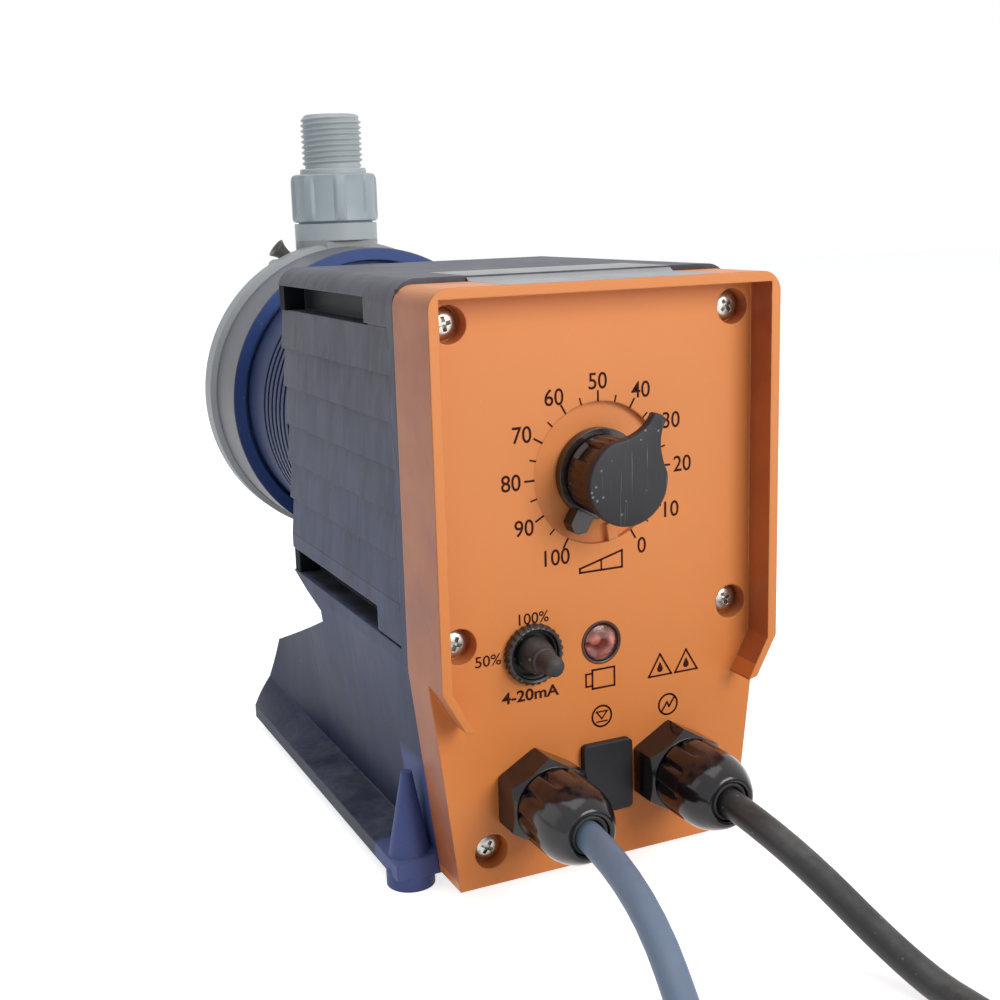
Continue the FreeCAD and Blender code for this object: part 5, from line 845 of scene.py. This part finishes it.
gland_gloss = make_finish(
    "gland_gloss", (0.012, 0.010, 0.013), 0.15, uneven=0.5, uneven_scale=120.0, grain_scale=700.0,
    grain_depth=0.25, edge=0.35, wear_amount=0.35, worn=(0.22, 0.13, 0.11), dusty=0.12, specks=0.3,
    coat=0.1, shine=0.4, dust_colour=(0.22, 0.16, 0.15))
seal_rubber = make_finish("seal_rubber", (0.030, 0.028, 0.030), 0.7, grain_depth=0.6, dusty=0.3)
for gland_name, x in (("control", -19.0), ("mains", 19.0)):
    gland_place = Matrix.Translation((x, PANEL_Y, 26.7)) @ TO_FRONT
    prism = bmesh.new()
    bmesh.ops.create_circle(prism, cap_ends=True, segments=6, radius=10.0 / math.cos(math.radians(30)))
    raised = bmesh.ops.extrude_face_region(prism, geom=list(prism.faces))
    bmesh.ops.translate(
        prism, vec=(0.0, 0.0, 9.5), verts=[v for v in raised["geom"] if isinstance(v, bmesh.types.BMVert)])
    chamfer = bmesh.new()
    lathe(chamfer, [(0.0, -0.5), (10.6, -0.5), (11.7, 0.6), (11.7, 7.7), (10.0, 9.1), (9.6, 9.5), (0.0, 9.5)],
          steps=96, closed=False)
    hexagon = carve(prism, chamfer, "INTERSECT")
    lathe(hexagon, [(7.9, -10.0), (7.9, 0.0), (7.0, 0.0), (7.0, -10.0)], steps=48)
    finish_piece(
        gland_name + "_gland_hexagon", hexagon, gland_gloss, "frame", "knob_black",
        gland_name + "_gland_body", place=gland_place, crease=25.0)
    dome_nut = bmesh.new()
    shell = lathe(
        dome_nut, [(4.2, 9.8), (9.2, 9.8), (9.6, 10.1), (9.8, 10.6), (9.8, 14.0), (9.8, 17.6), (9.78, 19.4),
        (9.6, 21.2), (9.15, 23.2), (8.4, 25.1), (7.4, 26.9), (6.6, 28.0), (6.1, 28.4), (5.5, 28.5),
        (5.0, 28.3), (4.85, 27.8), (4.8, 26.0), (4.2, 25.0)], steps=160)
    draw_in(shell, dome_flutes)
    finish_piece(
        gland_name + "_gland_dome", dome_nut, gland_gloss, "frame", "knob_black", gland_name + "_gland_nut",
        place=gland_place, crease=38.0)
    lathe_piece(
        gland_name + "_gland_seal", [(3.6, 26.2), (4.75, 26.2), (4.75, 27.6), (4.4, 28.0), (3.9, 27.9),
        (3.6, 27.4)], gland_place, seal_rubber, "frame", "seal_black", steps=48)
    dress(nut_black, "knob_black", gland_name + "_gland_locknut")

# Drive drum, head plate and dosing head
# The ribbed blue drum that joins the housing to the liquid end, the blue backing plate with its groove,
# and the light-grey plastic head with its valve block. Six socket screws clamp head and plate together.
PUMP_AXIS_Z = 106.1


def grey_rim(tree, full):
    """A grey rim round the head plate, outside a radius of 48.8 mm."""
    spot = axes_of(tree, object_spot(tree))
    flat = node_in(tree, "ShaderNodeCombineXYZ", {
        0: spot["X"], 1: math_in(tree, "SUBTRACT", spot["Z"], PUMP_AXIS_Z * MM)})
    out = node_in(tree, "ShaderNodeVectorMath", {0: flat.outputs[0]}, operation="LENGTH").outputs["Value"]
    return mix_in(tree, ranged(tree, out, 48.7 * MM, 48.9 * MM), full, (0.120, 0.118, 0.140, 1.0))


drum_blue = make_finish(
    "drum_blue", (0.030, 0.045, 0.115), 0.50, shine=0.25, uneven=0.4, uneven_scale=30.0, grain_depth=0.7,
    wear_amount=0.4, worn=(0.10, 0.13, 0.22), dusty=0.35, specks=0.3, dust_colour=(0.16, 0.20, 0.30))
plate_blue = make_finish(
    "plate_blue", (0.040, 0.085, 0.270), 0.42, shine=0.35, uneven=0.35, uneven_scale=30.0, grain_depth=0.6,
    edge=0.5, wear_amount=0.4, worn=(0.22, 0.26, 0.38), dusty=0.35, specks=0.3,
    dust_colour=(0.22, 0.27, 0.40), painted=grey_rim)
head_grey = make_finish(
    "head_grey", (0.345, 0.365, 0.375), 0.46, shine=0.35, uneven=0.22, uneven_scale=28.0, edge=0.5,
    worn=(0.52, 0.54, 0.55), specks=0.35, dust_colour=(0.24, 0.22, 0.19))
dress(drum_blue, "adapter_blue", "drive_adapter")
dress(plate_blue, "plate_blue", "head_plate")
dress(head_grey, "head_grey", "dosing_head")
bolt = bmesh.new()
lathe(bolt, [(0.0, 0.0), (4.9, 0.0), (5.0, 0.2), (5.0, 4.3), (4.75, 4.8), (4.4, 5.0), (0.0, 5.0)],
      steps=48, closed=False)
draw_in(bolt.verts, lambda radius, turn, height: 0.08 * (1.0 + math.cos(turn * 24.0)) * (radius > 4.95))
key = bmesh.new()
bmesh.ops.create_cone(key, cap_ends=True, segments=6, radius1=2.3, radius2=2.35, depth=5.0)
bmesh.ops.translate(key, vec=(0.0, 0.0, 4.7), verts=key.verts)
BOLT_CIRCLE = 39.0
BOLT_SEAT_Y = 96.5
bolt_places = []
for degrees in (0, 40, -40, 180, 140, 220):
    turn = math.radians(degrees)
    spot = (BOLT_CIRCLE * math.cos(turn), BOLT_SEAT_Y, PUMP_AXIS_Z + BOLT_CIRCLE * math.sin(turn))
    own_turn = Matrix.Rotation(math.radians(degrees * 1.7), 4, "Z")
    bolt_places.append(Matrix.Translation(spot) @ TO_REAR @ own_turn)
bolts = bmesh.new()
copy_into(bolts, carve(bolt, key), bolt_places)
finish_piece("head_socket_screws", bolts, zinc, "frame", "screw_steel", "head_screws", crease=35.0)

# Valves
# Two ball valves in light-grey plastic, one on top of the head and one below: a collared body, a union nut
# with eight rounded ribs, and a G 1/2 nipple with a cut thread. Inside are a seat, a ball and a seal ring.


def nut_ribs(radius, turn, height):
    """Eight rounded ribs that stand out between flats and run out towards both ends of the nut."""
    if radius <= 13.3:
        return 0.0
    near = abs(((math.degrees(turn) - 12.0) / 45.0) % 1.0 - 0.5) * 45.0
    ends = held((height - 164.2) / 1.2) * held((179.4 - height) / 1.6)
    return 0.95 * eased((near - 5.0) / 3.5) * ends


def thread_ends(radius, turn, height):
    """How far the thread's crests are cut back where it starts and where it ends."""
    limit = 9.46 + 0.96 * held((199.4 - height) / 1.5) * held((height - 181.4) / 1.2)
    return radius - limit


valve_grey = make_finish(
    "valve_grey", (0.445, 0.49, 0.52), 0.42, uneven=0.18, worn=(0.55, 0.58, 0.60), dusty=0.22, specks=0.4,
    dust_colour=(0.27, 0.26, 0.23))
nut_grey = make_finish(
    "nut_grey", (0.385, 0.45, 0.485), 0.44, uneven=0.25, uneven_scale=50.0, wear_amount=0.35,
    worn=(0.50, 0.53, 0.56), specks=0.4, dust_colour=(0.24, 0.23, 0.21))
dress(valve_grey, "head_grey", "discharge_valve_body", "suction_valve_body")
VALVE_Y = 98.5
THREAD_PITCH, THREAD_STEPS, THREAD_TURNS = 1.814, 64, 9.2
upside_down = Matrix.Translation((0.0, VALVE_Y, 2 * PUMP_AXIS_Z)) @ Matrix.Rotation(math.pi, 4, "X")
for valve_name, valve_place in (("discharge", Matrix.Translation((0.0, VALVE_Y, 0.0))),
                                ("suction", upside_down)):
    ribbed = bmesh.new()
    sleeve = lathe(
        ribbed, [(12.95, 163.8), (13.9, 163.7), (14.6, 164.1), (14.9, 164.8), (14.9, 167.0), (14.9, 170.0),
        (14.9, 173.0), (14.9, 176.6), (14.8, 178.2), (14.4, 179.3), (13.6, 179.8), (12.9, 179.9),
        (11.6, 179.9), (11.55, 179.2), (11.6, 177.0), (12.95, 176.4)], steps=192)
    draw_in(sleeve, nut_ribs)
    finish_piece(
        valve_name + "_union_ring", ribbed, nut_grey, "frame", "head_grey", valve_name + "_union_nut",
        place=valve_place, crease=30.0)
    threaded = bmesh.new()
    lathe(
        threaded, [(6.0, 173.6), (12.7, 173.6), (12.7, 176.2), (11.4, 176.4), (11.4, 181.3), (11.1, 181.7),
        (9.5, 181.75), (9.5, 198.9), (9.1, 199.6), (8.7, 199.8), (6.6, 199.8), (6.0, 199.2)], steps=96)
    corners = [threaded.verts.new((radius, 0.0, 182.0 + height)) for radius, height in (
        (9.45, 0.0), (9.62, 0.12), (10.42, 0.66), (10.42, 0.98), (9.62, 1.52), (9.45, 1.64),
        (9.45, THREAD_PITCH))]
    edges = [threaded.edges.new(pair) for pair in zip(corners, corners[1:])]
    before = set(threaded.verts) - set(corners)
    bmesh.ops.spin(
        threaded, geom=corners + edges, cent=(0, 0, 0), axis=(0, 0, 1),
        dvec=(0.0, 0.0, THREAD_PITCH / THREAD_STEPS), angle=2 * math.pi * THREAD_TURNS,
        steps=int(THREAD_STEPS * THREAD_TURNS), use_merge=False, use_duplicate=False)
    helix = [v for v in threaded.verts if v not in before]
    draw_in(helix, thread_ends)
    for vert in helix:
        vert.co.z = min(vert.co.z, 199.4)
    finish_piece(
        valve_name + "_threaded_nipple", threaded, valve_grey, "frame", "head_grey", valve_name + "_nipple",
        place=valve_place, crease=30.0)

# Bleed valve
# A small grey turning knob on the head's face, and a drain nozzle that points up to the left, pushed
# into the head beside the discharge valve.
nozzle_grey = make_finish(
    "nozzle_grey", (0.10, 0.095, 0.092), 0.40, uneven=0.3, uneven_scale=120.0, grain_depth=0.3, edge=0.3,
    wear_amount=0.4, worn=(0.35, 0.34, 0.33))
dress(valve_grey, "head_grey", "bleed_knob")
nozzle_place = Matrix.Translation((-11.5, 101.0, 147.1)) @ Matrix.Rotation(math.radians(-50.0), 4, "Y")
lathe_piece(
    "drain_nozzle", [(2.2, 0.0), (2.4, 0.6), (2.0, 1.2), (1.9, 7.0), (2.05, 9.0), (2.5, 10.9), (3.1, 12.2),
    (3.45, 12.8), (3.4, 13.0), (3.0, 12.9), (2.3, 11.6), (1.6, 9.8), (1.2, 8.0), (1.2, 0.0)], nozzle_place,
    nozzle_grey, "frame", "head_grey", "bleed_nozzle", steps=40, crease=50.0)

# Blank label
# A plain silver-white film, with nothing printed on it, stuck over the joint between cover and housing.
label_film = make_finish(
    "label_film", (0.42, 0.43, 0.45), 0.42, shine=0.3, uneven=0.3, uneven_scale=60.0, grain_depth=0.2,
    edge=0.1, wear_amount=0.0, dusty=0.55, specks=0.5, dust_colour=(0.35, 0.34, 0.33))
film = bmesh.new()
top_line = [(-97.2, 150.45), (-76.6, 150.45), (-74.6, 151.76), (-52.5, 151.76)]
edge_points = [film.verts.new((-27.0, y, z)) for y, z in top_line]
film_edges = [film.edges.new(pair) for pair in zip(edge_points, edge_points[1:])]
strip = bmesh.ops.extrude_edge_only(film, edges=film_edges)
bmesh.ops.translate(
    film, vec=(55.6, 0.0, 0.0), verts=[v for v in strip["geom"] if isinstance(v, bmesh.types.BMVert)])
bmesh.ops.recalc_face_normals(film, faces=film.faces)
bmesh.ops.solidify(film, geom=list(film.faces), thickness=0.12)
finish_piece("blank_label", film, label_film, "frame", "head_grey", crease=40.0)

# Inside
# The electronics, the solenoid, the push rod, the diaphragm and the balls, each in its own finish.


def dress_inner(finish, colour, roughness, slot, names, **look):
    """Give CAD nodes a finish that nothing else has."""
    dress(make_finish(finish, colour, roughness, **look), slot, *names)


dress_inner("board_green", (0.015, 0.16, 0.055), 0.35, "board_green", ["circuit_board"],
            uneven=0.5, uneven_scale=260.0, grain_depth=0.4, edge=0.1, wear_amount=0.1, dusty=0.1)
dress_inner("magnet_iron", (0.30, 0.30, 0.31), 0.42, "magnet_iron", ["magnet_yoke", "yoke_plate", "armature"],
            metallic=1.0, uneven=0.5, uneven_scale=80.0, grain_depth=0.6, edge=0.3, wear_amount=0.4,
            dusty=0.1)
dress_inner("bright_steel", (0.56, 0.57, 0.58), 0.24, "steel",
            ["push_rod", "return_spring", "toggle_lever", "adapter_screws", "diaphragm_core"],
            metallic=1.0, uneven=0.25, uneven_scale=200.0, grain_depth=0.2, edge=0.2, wear_amount=0.2,
            dusty=0.05)
dress_inner("brass", (0.72, 0.52, 0.22), 0.30, "brass", ["stroke_spindle", "spindle_bush", "rod_bush"],
            metallic=1.0, uneven=0.3, uneven_scale=150.0, grain_depth=0.3, edge=0.2, wear_amount=0.2,
            dusty=0.05)
dress_inner("copper_wire", (0.62, 0.24, 0.10), 0.35, "copper", ["solenoid_coil"], metallic=1.0, uneven=0.4,
            uneven_scale=300.0, grain_scale=500.0, grain_depth=0.9, edge=0.2, wear_amount=0.1, dusty=0.05)
dress_inner("diaphragm_ptfe", (0.80, 0.80, 0.78), 0.40, "diaphragm_white",
            ["diaphragm", "discharge_valve_seat", "suction_valve_seat"],
            uneven=0.1, uneven_scale=90.0, grain_depth=0.3, edge=0.3, wear_amount=0.1, dusty=0.05)
dress_inner("ball_ceramic", (0.82, 0.80, 0.76), 0.12, "ball_ceramic", ["discharge_ball", "suction_ball"],
            uneven=0.06, uneven_scale=200.0, grain_depth=0.05, edge=0.1, wear_amount=0.0, dusty=0.0)
dress_inner("ring_rubber", (0.016, 0.016, 0.018), 0.5, "seal_black", ["discharge_oring", "suction_oring"],
            uneven=0.3, grain_depth=0.3, edge=0.1, wear_amount=0.1, dusty=0.05)
dress(nut_black, "nut_black", "toggle_switch_body")
dress_inner("core_sleeves", (0.10, 0.045, 0.030), 0.42, "core_mixed",
            ["mains_core_ends", "control_core_ends"],
            uneven=0.9, uneven_scale=70.0, grain_depth=0.2, edge=0.1, wear_amount=0.1, dusty=0.1)
